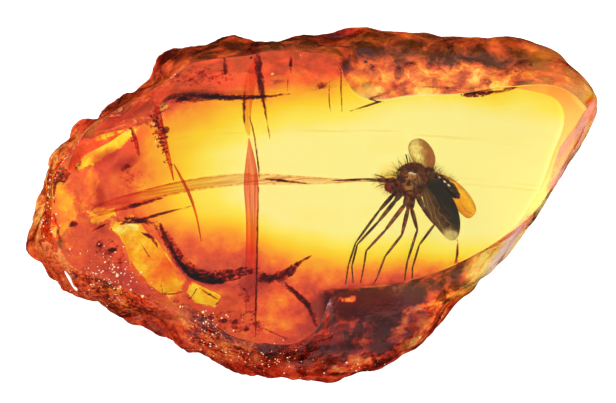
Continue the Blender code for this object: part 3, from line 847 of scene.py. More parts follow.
def make_amber():
    """Both CAD halves copied, opened at the parting and the pocket, and joined again into one clear lump."""
    halves = []
    for node in ("amber_back_half", "amber_front_half"):
        half = frame["nodes"][node].copy()
        half.data = half.data.copy()
        bpy.context.scene.collection.objects.link(half)
        half.parent = None
        for key in list(half.keys()):
            del half[key]
        halves.append(half)
    stone = join(halves)
    edit_faces(stone)
    bpy.ops.mesh.select_all(action="SELECT")
    bpy.ops.mesh.remove_doubles(threshold=0.002 * MM)
    choose_faces(stone, lambda c, n: abs(n.z) > 0.99 and min(abs(c.z - z) for z in PARTING_LEVELS) < 0.02)
    bpy.ops.mesh.delete(type="FACE")
    choose_faces(stone, lambda c, n: c.z < 0.01 or c.z > TOP - 0.01)
    bpy.ops.mesh.select_linked()
    bpy.ops.mesh.select_all(action="INVERT")
    bpy.ops.mesh.delete(type="FACE")
    for flat in (lambda c, n: c.z < 0.01, lambda c, n: c.z > TOP - 0.01):
        choose_faces(stone, flat)
        bpy.ops.mesh.dissolve_faces()
        bpy.ops.mesh.select_all(action="DESELECT")
    bpy.ops.mesh.select_mode(type="EDGE")
    bpy.ops.mesh.select_non_manifold()
    bpy.ops.mesh.bridge_edge_loops()
    bpy.ops.mesh.select_all(action="SELECT")
    bpy.ops.mesh.tris_convert_to_quads(face_threshold=math.radians(60), shape_threshold=math.radians(60))
    bpy.ops.mesh.select_mode(type="FACE")
    for flat in (lambda c, n: c.z < 0.01, lambda c, n: c.z > TOP - 0.01):
        choose_faces(stone, flat)
        bpy.ops.mesh.inset(thickness=0.25 * MM)
    choose_faces(stone, lambda c, n: c.z > TOP - 0.01)
    shift_chosen(stone, lambda p: (
        p.x + 0.4 * ramped(p.x, 12.0, 14.5),
        p.y - 0.75 * ramped(p.x, 3.5, 8.0) * ramped(-p.y, 0.0, 2.0),
        p.z))
    choose_faces(stone, lambda c, n: c.z < 0.01 or c.z > TOP - 0.01)
    bpy.ops.mesh.region_to_loop()
    bpy.ops.transform.edge_crease(value=0.75)
    bpy.ops.object.mode_set(mode="OBJECT")
    smooth_over(stone, 3)
    apply_modifiers(stone)

    broken = stone.vertex_groups.new(name="broken")
    middle = stone.vertex_groups.new(name="middle")
    for vert in stone.data.vertices:
        place = vert.co / MM
        edge = min(place.z / 2.0, (TOP - 0.3 - place.z) / 1.2, 1.0)
        left = 0.3 + 0.7 * ramped(-place.x, -8.0, 6.0)
        back = 0.35 if place.z < 4.0 else 1.0
        broken.add([vert.index], max(edge, 0.0) * left * back, "REPLACE")
        # How far the flank is held back to the solids' outline: at the lower right, the top and the left end.
        tight = max(
            0.65 * ramped(place.x, 8.5, 11.0) * ramped(-place.y, -4.5, -1.5),
            0.8 * ramped(place.y, 7.5, 9.0) * ramped(place.x, -4.0, 0.0) * (1.0 - ramped(place.x, 8.0, 10.5)),
            0.5 * ramped(-place.x, 14.5, 16.0) * ramped(place.y, -3.5, -1.5),
        )
        middle.add([vert.index], ramped(-abs(place.z - 5.0), -4.2, 0.0) * (1.0 - tight), "REPLACE")
    add_modifier(stone, "DISPLACE", strength=0.42 * MM, mid_level=0.0, vertex_group=middle.name)
    roughen(stone, 1.7, -0.4, "VORONOI", broken.name)
    roughen(stone, 0.7, 0.28, "CLOUDS", broken.name)
    settle(stone, "amber", amber_finish())
    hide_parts("amber_back_half", "amber_front_half")
    return stone


# The fly

def make_fly():
    body = make_fly_body()
    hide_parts("fly")
    make_fly_legs()
    make_fly_wings()
    make_fly_hair()


def make_fly_body():
    thorax = blob(in_fly(6.5, 1.45, 0.0), (1.12, 1.2, 0.98), -20.0, 2)
    edit_faces(thorax)
    choose_faces(thorax, lambda c, n: n.y > 0.55 and n.x < 0.4)
    bpy.ops.mesh.inset(thickness=0.08 * MM, depth=0.05 * MM)
    face_out()
    shield = blob(in_fly(7.45, 1.95, 0.1), (0.48, 0.4, 0.4), -35.0)
    collar = blob(in_fly(5.75, 1.2, 0.15), (0.42, 0.62, 0.6), 10.0)
    hips = [blob(in_fly(*joints[0]), (0.26, 0.34, 0.26), 60.0) for joints in LEGS.values()]
    settle(join(hips), "fly_coxae", chitin_finish(
        "red_chitin", (0.45, 0.05, 0.025), (1.0, 0.26, 0.12), 0.4, 0.2))
    trunk = join([thorax, shield])
    roughen(trunk, 0.4, 0.2)
    roughen(trunk, 0.12, 0.07)
    settle(trunk, "fly_thorax", thorax_finish())
    ridges = [fly_limb(line, 6) for line in (
        [(5.35, 1.85, 0.2, 0.05), (5.72, 2.38, 0.25, 0.1), (6.34, 2.6, 0.25, 0.12), (7.02, 2.42, 0.25, 0.11),
         (7.5, 2.05, 0.25, 0.05)],
        [(5.6, 1.4, 0.62, 0.04), (5.9, 1.9, 0.7, 0.07), (6.4, 2.18, 0.76, 0.08), (6.95, 2.02, 0.74, 0.06),
         (7.35, 1.6, 0.62, 0.04)],
        [(5.85, 0.62, 0.5, 0.04), (6.15, 0.9, 0.82, 0.06), (6.5, 0.78, 0.84, 0.08), (6.95, 0.62, 0.6, 0.04)],
        [(6.75, 1.7, 0.92, 0.03), (6.85, 1.3, 0.94, 0.06), (6.8, 0.85, 0.82, 0.04)],
    )]
    crest = join(ridges)
    roughen(crest, 0.15, 0.08)
    settle(crest, "fly_ridges", chitin_finish(
        "ridge_chitin", (0.02, 0.007, 0.004), (0.30, 0.11, 0.03), 0.5, 0.2))

    head = blob(in_fly(5.12, 1.2, 0.05), (0.42, 0.52, 0.5), 0.0)
    mouth = fly_limb([(4.9, 1.45, 0.0, 0.2), (4.55, 1.5, 0.02, 0.17), (4.2, 1.52, 0.02, 0.1)], 8)
    face = join([head, mouth, collar])
    roughen(face, 0.3, 0.22)
    settle(face, "fly_head", chitin_finish(
        "dark_chitin", (0.05, 0.012, 0.006), (0.50, 0.10, 0.04), 0.3, 0.25))
    eyes = [blob(in_fly(*place), (0.26, 0.34, 0.24)) for place in ((4.9, 1.1, 0.34), (4.95, 1.18, -0.35))]
    eye = Finish("faceted_eye")
    facets = eye.cells(0.045)
    settle(join(eyes), "fly_eyes", eye.surface(
        Base_Color=(0.30, 0.02, 0.012), Roughness=0.18, Normal=eye.bump(facets, 0.6, 0.02), Coat_Weight=0.5))

    rings = []
    spine = [(7.1, 1.6, 0.5), (7.5, 1.62, 0.52), (7.9, 1.5, 0.54), (8.3, 1.3, 0.52), (8.68, 1.05, 0.47),
             (9.0, 0.8, 0.4), (9.25, 0.56, 0.28), (9.42, 0.38, 0.1)]
    for (x, y, radius), (next_x, next_y, next_radius) in zip(spine, spine[1:]):
        rings.append((in_fly(x, y, -0.1), radius * 0.9))
        rings.append((in_fly(x * 0.8 + next_x * 0.2, y * 0.8 + next_y * 0.2, -0.1), radius))
        rings.append((in_fly(x * 0.15 + next_x * 0.85, y * 0.15 + next_y * 0.85, -0.1), next_radius * 1.04))
    rings.append((in_fly(*spine[-1][:2], -0.1), 0.05))
    abdomen = limb(rings, 12)
    roughen(abdomen, 0.3, 0.16)
    # The abdomen's bright patches glow as painted highlights.
    settle(abdomen, "fly_abdomen", chitin_finish(
        "black_chitin", (0.002, 0.0015, 0.0015), (0.02, 0.008, 0.004), 0.35, 0.5,
        painted_highlights=((8.15, 1.72), (8.5, 1.42), (8.75, 1.2), (7.75, 1.95))))

    spear = [
        fly_limb([(4.75, 1.52, 0.02, 0.1), (4.0, 1.58, 0.02, 0.075), (3.0, 1.6, 0.0, 0.055),
                  (2.0, 1.53, 0.0, 0.04), (1.2, 1.5, 0.0, 0.02)], 8),
        fly_limb([(4.7, 1.42, 0.1, 0.05), (3.9, 1.47, 0.08, 0.035), (2.9, 1.46, 0.05, 0.02)], 6),
        fly_limb([(4.75, 1.68, 0.0, 0.06), (4.35, 1.8, 0.05, 0.045), (3.95, 1.9, 0.1, 0.02)], 6),
        fly_limb([(4.75, 1.3, 0.1, 0.05), (4.35, 1.2, 0.15, 0.03), (4.05, 1.02, 0.2, 0.015)], 6),
    ]
    settle(join(spear), "fly_proboscis", chitin_finish(
        "amber_chitin", (0.09, 0.02, 0.006), (0.50, 0.20, 0.05), 0.3, 0.3))
    club = fly_limb([(6.25, 2.35, 0.2, 0.05), (6.14, 2.7, 0.24, 0.035), (6.08, 2.95, 0.27, 0.06),
                     (6.02, 3.2, 0.3, 0.05)], 8)
    return settle(club, "fly_bristle_rod", plain_finish("black_rod", (0.02, 0.008, 0.004), 0.3))


def make_fly_legs():
    for name, joints in LEGS.items():
        stations = []
        for number, (start, end) in enumerate(zip(joints, joints[1:])):
            first, last = LEG_RADII[number], LEG_RADII[number + 1]
            a, b = in_fly(*start), in_fly(*end)
            pieces = 4 if number == 4 else 1
            for piece in range(pieces):
                for share, swell in ((0.0, 0.62), (0.1, 1.0), (0.5, 1.12), (0.88, 1.05), (0.97, 0.7)):
                    at = (piece + share) / pieces
                    stations.append((a.lerp(b, at), (first + (last - first) * at) * swell))
        stations.append((in_fly(*joints[-1]), LEG_RADII[-1] * 0.5))
        shades = ((0.05, 0.018, 0.008), (0.32, 0.12, 0.04))
        if name in ("middle_far", "middle_near"):
            shades = ((0.16, 0.035, 0.015), (0.55, 0.16, 0.05))
        settle(limb(stations), "fly_leg_" + name, chitin_finish("leg_" + name, *shades, 0.3, 0.5))


def make_fly_wings():
    near = [((7.0, 1.1), (7.4, 1.6)), ((7.08, 0.4), (8.2, 1.2)), ((7.25, -0.3), (8.9, 0.6)),
            ((7.55, -0.9), (9.3, -0.2)), ((7.95, -1.45), (9.5, -1.0)), ((8.4, -2.0), (9.47, -1.7)),
            ((8.85, -2.4), (9.3, -2.25))]
    far = [((7.4, 1.65), (7.8, 2.0)), ((8.0, 1.1), (8.7, 1.8)), ((8.6, 0.45), (9.4, 1.35)),
           ((9.1, -0.15), (10.0, 0.75)), ((9.6, -0.7), (10.45, 0.05)), ((10.1, -1.06), (10.6, -0.5))]
    lobe = [((7.0, 2.0), (7.8, 2.15)), ((6.5, 2.65), (7.98, 2.75)), ((6.2, 3.25), (7.82, 3.4)),
            ((6.15, 3.75), (7.45, 3.9)), ((6.45, 4.15), (7.0, 4.22))]

    def raised(stations, lift):
        return [tuple((*edge, FLY_HEIGHT + lift(*edge)) for edge in pair) for pair in stations]

    settle(
        sheet(raised(near, lambda x, y: 0.55 + (x - 7.0) * 0.12), WING_THICKNESS, 3), "fly_near_wing",
        wing_finish("near_wing", (7.0, 1.7), -86.0, -42.0, ((0.20, 0.085, 0.03), (0.004, 0.003, 0.002)),
                    (0.75, 0.42, 0.15), 5.0, (0.8, 1.0), tip=((9.0, -2.2), (0.75, 0.5), -40.0)),
    )
    settle(
        sheet(raised(far, lambda x, y: -0.55 - (x - 7.4) * 0.1), WING_THICKNESS, 3), "fly_far_wing",
        wing_finish("far_wing", (7.1, 2.4), -58.0, -28.0, ((0.80, 0.30, 0.02), (1.0, 0.58, 0.08)),
                    (0.55, 0.22, 0.03), 4.0, (1.0, 1.0), clear=1.0),
    )
    settle(
        sheet(raised(lobe, lambda x, y: -0.2 - (y - 1.8) * 0.1), 0.04, 3), "fly_raised_wing",
        wing_finish("raised_wing", (7.5, 1.6), 138.0, 78.0, ((0.98, 0.90, 0.70), (0.36, 0.12, 0.075)),
                    (0.36, 0.16, 0.08), 0.0, (1.0, 1.0), clear=1.0, mottled=0.5),
    )
    settle(
        sheet([((3.7, 0.5, 5.2), (3.9, 2.5, 5.2)), ((5.2, 0.1, 5.2), (5.0, 3.0, 5.2)),
               ((6.8, -0.3, 5.2), (6.5, 3.2, 5.2)), ((8.4, -0.6, 5.2), (8.3, 2.7, 5.2)),
               ((10.0, -1.2, 5.2), (10.2, 1.4, 5.2))], WING_THICKNESS, 3),
        "fly_halo", halo_finish("stained_resin", (1.0, 0.74, 0.25), 0.8),
    )


def make_fly_hair():
    """Dark bristles and golden down on the body, and fine bristles along the legs."""
    chance = random.Random(11)

    def spike():
        bpy.ops.mesh.primitive_cone_add(
            vertices=4, radius1=MM, radius2=0.15 * MM, depth=2 * MM, location=(0, 0, MM))
        bpy.ops.object.transform_apply(location=True, rotation=True, scale=True)
        return bpy.context.object

    def over(middle, radii, count, length, spread, keep):
        placings = []
        while len(placings) < count:
            way = Vector((chance.gauss(0, 1), chance.gauss(0, 1), chance.gauss(0, 1))).normalized()
            if not keep(way):
                continue
            root = Vector(middle) + Vector((way.x * radii[0], way.y * radii[1], way.z * radii[2])) * 0.96
            lean = way + Vector((chance.gauss(0, spread), chance.gauss(0, spread), chance.gauss(0, spread)))
            placings.append((root, lean.normalized(), length * chance.uniform(0.016, 0.026),
                             0.5 * length * chance.uniform(0.6, 1.2)))
        return placings

    thorax = in_fly(6.5, 1.45, 0.0)
    dark = over(thorax, (1.12, 1.18, 0.95), 260, 0.45, 0.45, lambda w: w.y > -0.3)
    dark += over(thorax, (1.12, 1.18, 0.95), 30, 0.9, 0.3, lambda w: w.y > 0.3)
    dark += over(in_fly(5.1, 1.28, 0.05), (0.5, 0.6, 0.6), 90, 0.4, 0.5, lambda w: w.x < 0.4)
    dark += over(in_fly(8.2, 1.3, 0.1), (1.0, 0.5, 0.4), 60, 0.5, 0.4, lambda w: w.y > 0.0)
    dark += over(in_fly(7.6, 1.75, 0.1), (0.5, 0.45, 0.4), 26, 0.7, 0.3, lambda w: w.x > 0.1 and w.y > -0.1)
    dark += over(in_fly(4.4, 1.5, 0.05), (0.35, 0.14, 0.14), 24, 0.5, 0.6, lambda w: w.x < 0.3)
    for joints in LEGS.values():
        for number, count in ((1, 12), (2, 14), (3, 9)):
            a, b = in_fly(*joints[number]), in_fly(*joints[number + 1])
            for step in range(count):
                at = a.lerp(b, (step + chance.random()) / count)
                lean = Vector((chance.gauss(0, 0.6), chance.gauss(0, 0.6), chance.gauss(0, 0.4)))
                dark.append((at, (b - a).normalized() * 0.7 + lean, 0.008, 0.5 * chance.uniform(0.12, 0.26)))
    settle(scatter(spike(), dark), "fly_bristles", plain_finish("bristle", (0.05, 0.018, 0.006), 0.4))

    down = over(thorax, (1.12, 1.18, 0.95), 240, 0.75, 0.5, lambda w: w.y > 0.0 or w.x > 0.6)
    down += over(in_fly(7.9, 1.5, 0.0), (0.6, 0.4, 0.4), 90, 0.7, 0.5, lambda w: w.y > 0.0)
    down += over(in_fly(4.8, 1.5, 0.0), (0.4, 0.3, 0.3), 70, 0.5, 0.6, lambda w: w.x < 0.2)
    down = [(place, way, width * 0.45, length) for place, way, width, length in down]
    settle(scatter(spike(), down), "fly_golden_down", plain_finish(
        "golden_down", (0.75, 0.36, 0.05), 0.5, Alpha=0.6))


# Flaws in the stone

def make_flaws():
    brown = halo_finish("brown_cloud", (0.55, 0.20, 0.20), 0.7)
    stain = smudge_finish("stain_smudge", (0.48, 0.09, 0.07), 0.28, 0.75, 7.0, 0.3)
    dark = smudge_finish("dark_smudge", (0.32, 0.035, 0.03), 0.5, 0.9)
    thin = smudge_finish("thin_smudge", (0.45, 0.09, 0.06), 0.6, 1.0)
    dust = smudge_finish("dust_smudge", (0.6, 0.2, 0.18), 0.35, 0.3)
    red = veil_finish("red_flaw", (0.50, 0.05, 0.04), (0.90, 0.24, 0.12), along=((0.3, 2.5, 2.0), 5.0))
    rose = veil_finish("rose_flaw", (0.72, 0.13, 0.16), (0.95, 0.32, 0.28), along=((0.25, 5.0, 2.0), 0.0),
                       fade=(-6.5, -2.0))
    warm = veil_finish("warm_flaw", (0.85, 0.40, 0.25), (1.0, 0.80, 0.6), along=((0.3, 6.0, 2.0), 0.0))
    ribbon = veil_finish("ribbon_flaw", (0.72, 0.34, 0.28), (0.98, 0.78, 0.62), along=((7.0, 0.2, 2.0), 8.0))
    gold = veil_finish("gold_flaw", (0.92, 0.62, 0.2), (1.0, 0.97, 0.8), 1.2, ior=1.12)
    faint = veil_finish("faint_flaw", (0.965, 0.92, 0.76), (1.0, 1.0, 0.98), along=((5.0, 0.25, 2.0), -3.0))

    def seen(name, form, finish):
        return settle(form, name, finish)

    def cracks(name, finish, *sheets):
        """One piece of several cracks: each with its points, its widths, and the depths of its two edges."""
        return seen(name, join([crack(*given) for given in sheets]), finish)

    main = seen("crack_upright", film([(-3.95, 4.25, 0.03, 2.3, 8.6), *MAIN_CRACK[5:]]), rose)
    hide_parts("main_crack")
    seen("crack_above", film(MAIN_CRACK[:5]), warm)
    cracks("crack_upright_edges", thin, (
        [(-3.3, 1.2), (-3.4, -1.6), (-3.42, -4.6), (-3.5, -6.8), (-3.5, -8.4)],
        (0.1, 0.14, 0.14, 0.16, 0.06), 8.0, 9.3), (
        [(-3.62, 4.4), (-3.42, 3.2), (-3.3, 2.2), (-3.25, 1.5)], (0.03, 0.08, 0.1, 0.08), 8.0, 8.4))
    cracks("crack_above_edges", thin, (
        [(-3.4, 9.9), (-3.35, 8.6), (-3.1, 7.0), (-2.8, 5.8)], (0.75, 0.5, 0.6, 0.12), 6.5, 8.6), (
        [(-4.15, 7.2), (-4.3, 6.0), (-4.2, 4.9)], (0.25, 0.3, 0.08), 6.0, 6.8), (
        [(-5.5, 9.3), (-5.45, 8.5), (-5.35, 7.7)], (0.15, 0.4, 0.15), 6.0, 6.6), (
        [(-1.3, 9.4), (-1.28, 8.9), (-1.25, 8.3)], (0.12, 0.32, 0.12), 6.0, 6.6), (
        [(1.7, 10.1), (1.85, 9.2), (1.9, 8.4)], (0.4, 0.6, 0.3), 7.0, 7.8))
    cracks("crack_above_threads", thin, (
        [(-3.2, 7.4), (-2.85, 5.6), (-2.6, 4.1)], (0.2, 0.1, 0.04), 5.4, 6.0), (
        [(-3.9, 5.6), (-3.65, 4.6), (-3.35, 3.2)], (0.04, 0.09, 0.05), 6.4, 6.8), (
        [(-1.45, 8.1), (-1.5, 7.0)], (0.07, 0.07), 6.0, 6.4), (
        [(1.9, 8.6), (1.9, 7.4), (1.97, 5.8)], (0.14, 0.1, 0.05), 5.4, 6.4), (
        [(1.2, 8.0), (1.1, 6.6), (1.3, 5.7)], (0.05, 0.06, 0.03), 5.4, 5.8), (
        [(9.3, -2.2), (9.3, -3.2), (9.15, -4.0)], (0.05, 0.16, 0.2), 5.4, 6.4))
    cracks("crack_left", red, (
        [(-9.8, 6.3), (-9.6, 5.0), (-9.15, 3.4), (-8.7, 1.4)], (0.5, 0.4, 0.35, 0.08), 4.4, 7.0), (
        [(-8.75, 2.6), (-8.0, 1.2), (-7.35, -0.2), (-6.95, -2.5)], (0.06, 0.24, 0.16, 0.05), 4.0, 6.6), (
        [(-11.4, 4.8), (-11.1, 4.0), (-10.9, 3.0)], (0.2, 0.3, 0.1), 5.0, 6.6))
    cracks("crack_left_dirt", stain, (
        [(-10.1, 6.2), (-9.75, 5.0), (-9.3, 3.6), (-8.85, 2.0)], (1.2, 1.1, 0.8, 0.4), 7.2, 7.6), (
        [(-11.5, 4.9), (-11.15, 4.0), (-10.9, 3.0)], (0.4, 0.6, 0.4), 7.0, 7.4))
    cracks("brown_clouds", brown, (
        [(-14.3, 2.2), (-13.5, 2.8), (-12.6, 3.3), (-11.9, 3.5)], (0.7, 1.3, 1.2, 0.7), 6.6, 7.0), (
        [(-13.9, 1.8), (-13.4, 0.9), (-13.3, 0.0), (-13.5, -0.5)], (0.6, 1.3, 1.1, 0.6), 6.4, 6.8), (
        [(-12.9, 1.9), (-12.0, 2.4), (-11.2, 2.8), (-10.6, 3.2)], (0.7, 1.3, 1.0, 0.6), 7.0, 7.4), (
        [(-14.6, -0.7), (-13.4, -1.4), (-12.2, -2.4)], (0.8, 1.2, 0.7), 6.4, 6.8), (
        [(-9.6, -1.2), (-8.9, -2.6), (-8.2, -3.8), (-7.2, -4.5), (-5.6, -4.8), (-4.4, -4.4)],
        (0.7, 1.0, 1.0, 1.1, 1.0, 0.7), 6.0, 6.4), (
        [(-14.4, 4.0), (-12.8, 5.1), (-11.2, 6.1), (-10.0, 6.9)], (0.4, 1.0, 1.3, 0.9), 6.0, 6.4), (
        [(-10.4, 6.9), (-8.6, 6.8), (-6.8, 6.9), (-4.6, 6.9), (-2.0, 7.1)], (0.8, 1.3, 1.0, 0.8, 0.5),
        6.6, 7.0))
    cracks("dark_spots", dark, *(
        ([(x - size, y - size * 0.3), (x, y), (x + size, y + size * 0.2)], (size, size * 1.8, size), 6.8, 7.0)
        for x, y, size in ((-13.4, -2.6, 0.4), (-12.6, -2.9, 0.3), (-6.4, -7.2, 0.28), (-5.6, -7.4, 0.3),
                           (-4.8, -7.5, 0.24), (-4.1, -7.9, 0.2), (-15.1, -1.3, 0.35), (-11.7, 2.3, 0.4),
                           (-9.3, 4.7, 0.35))))
    cracks("crack_left_dust", dust, (
        [(-12.2, 2.0), (-10.4, 1.2)], (1.6, 1.2), 7.4, 7.7), (
        [(-13.6, -2.3), (-12.6, -3.1), (-11.9, -4.2)], (1.3, 1.5, 1.0), 6.4, 6.8), (
        [(-9.8, 8.2), (-7.4, 8.1), (-4.8, 8.0)], (1.2, 1.4, 0.9), 6.2, 6.6), (
        [(-4.6, -5.0), (-3.9, -6.0), (-3.7, -7.2)], (0.9, 1.3, 0.8), 6.2, 6.6))

    cracks("ribbon", ribbon, (
        [(-14.0, -0.5), (-11.9, 0.1), (-9.6, 0.85), (-7.1, 1.35), (-4.2, 1.65), (-0.7, 1.5), (2.2, 1.45),
         (4.2, 1.5)],
        (0.95, 0.8, 0.66, 0.6, 0.55, 0.36, 0.16, 0.05), 5.2, 6.4))
    cracks("ribbon_edges", warm, *(
        ([(-13.9, -0.5 + lift), (-11.8, 0.1 + lift), (-9.5, 0.85 + lift), (-7.0, 1.35 + lift),
          (-4.1, 1.65 + lift), (-0.7, 1.5 + lift * 0.7), (2.2, 1.45 + lift * 0.3)], widths, height,
          height + 0.2)
        for lift, height, widths in (
            (0.34, 6.5, (0.05, 0.07, 0.07, 0.06, 0.06, 0.05, 0.03)),
            (-0.34, 5.4, (0.12, 0.16, 0.14, 0.08, 0.06, 0.05, 0.03)),
        )))
    cracks("splinters", thin, (
        [(-12.2, -0.4), (-10.8, 0.05), (-9.3, 0.4)], (0.2, 0.5, 0.06), 6.8, 7.0), (
        [(-3.0, 1.6), (-1.8, 1.48), (-0.2, 1.3)], (0.08, 0.26, 0.04), 6.8, 7.0), (
        [(1.4, 1.5), (2.2, 1.5), (3.2, 1.5)], (0.04, 0.14, 0.04), 6.4, 6.6), (
        [(-12.4, -1.3), (-10.5, -0.95), (-9.0, -0.45), (-7.4, -0.1)], (0.3, 0.34, 0.16, 0.05), 6.6, 7.0), (
        [(-12.6, -1.0), (-11.0, -1.3), (-9.4, -0.9)], (0.1, 0.2, 0.05), 6.2, 6.5))
    cracks("plate_lines", thin, (
        [(-12.9, -1.2), (-12.5, -1.8)], (0.14, 0.03), 6.9, 7.2), (
        [(-11.9, -1.3), (-11.8, -2.1)], (0.1, 0.03), 6.9, 7.2), (
        [(-14.0, -1.8), (-13.3, -1.4), (-12.6, -1.1)], (0.06, 0.2, 0.06), 6.9, 7.2), (
        [(-10.9, -2.3), (-10.2, -3.4)], (0.06, 0.12), 6.9, 7.2), (
        [(-10.8, -1.8), (-10.0, -2.1), (-9.7, -2.8)], (0.08, 0.4, 0.1), 6.9, 7.2), (
        [(-9.5, -5.1), (-9.4, -5.8)], (0.05, 0.1), 6.9, 7.2), (
        [(-9.5, -5.7), (-8.8, -5.7), (-8.1, -5.6)], (0.05, 0.16, 0.1), 6.9, 7.2), (
        [(-7.9, -5.7), (-7.7, -6.2), (-7.2, -5.3)], (0.1, 0.16, 0.06), 6.9, 7.2), (
        [(-7.1, -5.3), (-6.5, -5.7), (-5.8, -6.1)], (0.08, 0.16, 0.08), 6.9, 7.2), (
        [(-5.8, -6.1), (-6.1, -6.5)], (0.12, 0.06), 6.9, 7.2), (
        [(-3.2, -7.8), (-2.3, -8.2), (-1.4, -8.6)], (0.05, 0.1, 0.06), 6.9, 7.2))
    cracks("feathers", faint, (
        [(7.6, 1.9), (10.0, 1.65), (12.5, 1.4), (15.0, 1.1)], (0.08, 0.2, 0.16, 0.05), 4.2, 4.8), (
        [(8.8, 1.35), (11.0, 1.15), (14.6, 0.85)], (0.05, 0.16, 0.04), 4.2, 4.6), (
        [(-9.0, 4.1), (-4.6, 4.7), (2.0, 4.6), (7.0, 4.7)], (0.05, 0.16, 0.12, 0.03), 4.2, 4.6), (
        [(6.4, 4.4), (10.0, 4.2), (14.4, 3.5)], (0.05, 0.2, 0.05), 4.0, 4.4))

    stains = seen("edge_stains", join([film(LOWER_STAIN), film(UPPER_STAIN)]), stain)
    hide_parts("lower_stain", "upper_stain")
    cracks("edge_smears", stain, (
        [(-12.4, -0.9), (-11.4, -1.0), (-10.4, -1.1), (-9.6, -1.5)], (0.3, 0.5, 0.5, 0.2), 4.0, 4.4), (
        [(-9.9, -1.0), (-9.1, -2.4), (-8.2, -3.7), (-7.5, -4.4), (-6.4, -4.8), (-4.5, -4.4), (-3.2, -4.1)],
        (0.3, 0.7, 0.6, 0.8, 0.9, 0.8, 0.3), 2.4, 2.8), (
        [(-7.2, 6.9), (-5.2, 6.8), (-3.9, 6.75), (-1.2, 7.05)], (0.5, 0.4, 0.3, 0.08), 3.2, 3.6))
    cracks("edge_dirt", dark, (
        [(-8.4, -3.9), (-7.7, -4.6), (-6.9, -4.95)], (0.1, 0.35, 0.1), 5.6, 5.8), (
        [(-6.9, -4.9), (-6.2, -5.1), (-5.3, -4.85)], (0.1, 0.4, 0.1), 5.6, 5.8), (
        [(-8.9, 6.7), (-8.2, 6.66), (-7.5, 6.72)], (0.1, 0.4, 0.1), 5.6, 5.8), (
        [(-3.7, -4.3), (-3.0, -4.85), (-2.3, -4.7), (-1.8, -4.6), (-0.9, -3.9), (0.1, -3.2)],
        (0.4, 0.9, 0.6, 1.0, 0.4, 0.05), 4.0, 4.6), (
        [(-1.9, -4.9), (-1.0, -5.7), (0.0, -6.5), (0.4, -7.9)], (0.4, 0.35, 0.5, 0.4), 3.0, 4.0), (
        [(9.4, 6.9), (10.6, 7.0), (11.6, 7.1)], (0.3, 0.55, 0.3), 8.0, 8.4))
    cracks("edge_lines", thin, (
        [(-9.7, -1.1), (-9.05, -2.7), (-8.3, -3.9), (-7.6, -4.7), (-6.3, -5.1), (-4.4, -4.7)],
        (0.3, 0.3, 0.3, 0.4, 0.45, 0.2), 2.7, 3.1), (
        [(-7.4, 6.75), (-6.4, 6.9), (-5.2, 6.8), (-3.9, 6.75), (-1.2, 7.05)],
        (0.05, 0.26, 0.24, 0.22, 0.05), 2.9, 3.3), (
        [(6.6, 7.25), (5.9, 7.1), (5.0, 6.7), (3.8, 6.3), (2.4, 5.85)], (0.4, 0.34, 0.16, 0.12, 0.05),
        7.5, 8.0), (
        [(6.5, 7.15), (7.7, 7.1), (9.3, 7.05), (10.8, 6.95), (12.2, 7.2)], (0.25, 0.16, 0.26, 0.22, 0.05),
        8.6, 9.0), (
        [(11.6, 7.0), (12.8, 7.4), (14.0, 8.0), (15.6, 8.3), (16.6, 7.4)], (0.1, 0.3, 0.36, 0.3, 0.1),
        4.6, 6.0))
    cracks("edge_dust", dust, (
        [(6.0, 9.3), (9.0, 9.6), (12.0, 9.3)], (1.6, 2.2, 1.4), 5.6, 6.2), (
        [(3.4, 8.2), (6.2, 8.6), (9.6, 8.0)], (0.9, 1.4, 1.0), 7.4, 7.8), (
        [(-6.4, -7.2), (-4.8, -7.6), (-2.5, -8.0)], (1.3, 1.6, 1.2), 6.0, 6.4))

    seen("gold_plates", join([
        plate([(-12.8, -1.1), (-11.8, -1.3), (-10.8, -1.6), (-9.8, -2.3), (-8.9, -3.8), (-8.2, -5.5),
               (-9.5, -5.7), (-11.3, -4.4), (-12.0, -2.2)], 4.6, (0.05, -0.1)),
        plate([(-7.9, -5.6), (-7.5, -5.1), (-7.1, -5.2), (-5.8, -5.9), (-6.2, -6.5), (-7.4, -6.3)],
              4.2, (0.1, 0.0)),
        plate([(-15.5, 2.1), (-15.2, 1.9), (-14.6, 3.0), (-12.8, 3.9), (-11.5, 4.8), (-13.4, 4.4),
               (-15.0, 3.5)], 6.4, (0.1, 0.1)),
        plate([(-10.0, 5.7), (-9.9, 5.5), (-8.9, 6.05), (-9.1, 6.3)], 7.9),
    ]), gold)


def surface_height(stone, x, y):
    """The height of the stone's front side at x and y, in mm, and its normal."""
    hit, place, normal, face = stone.ray_cast(Vector((x, y, 20.0)) * MM, Vector((0.0, 0.0, -1.0)))
    return (place.z / MM, normal) if hit else (None, None)


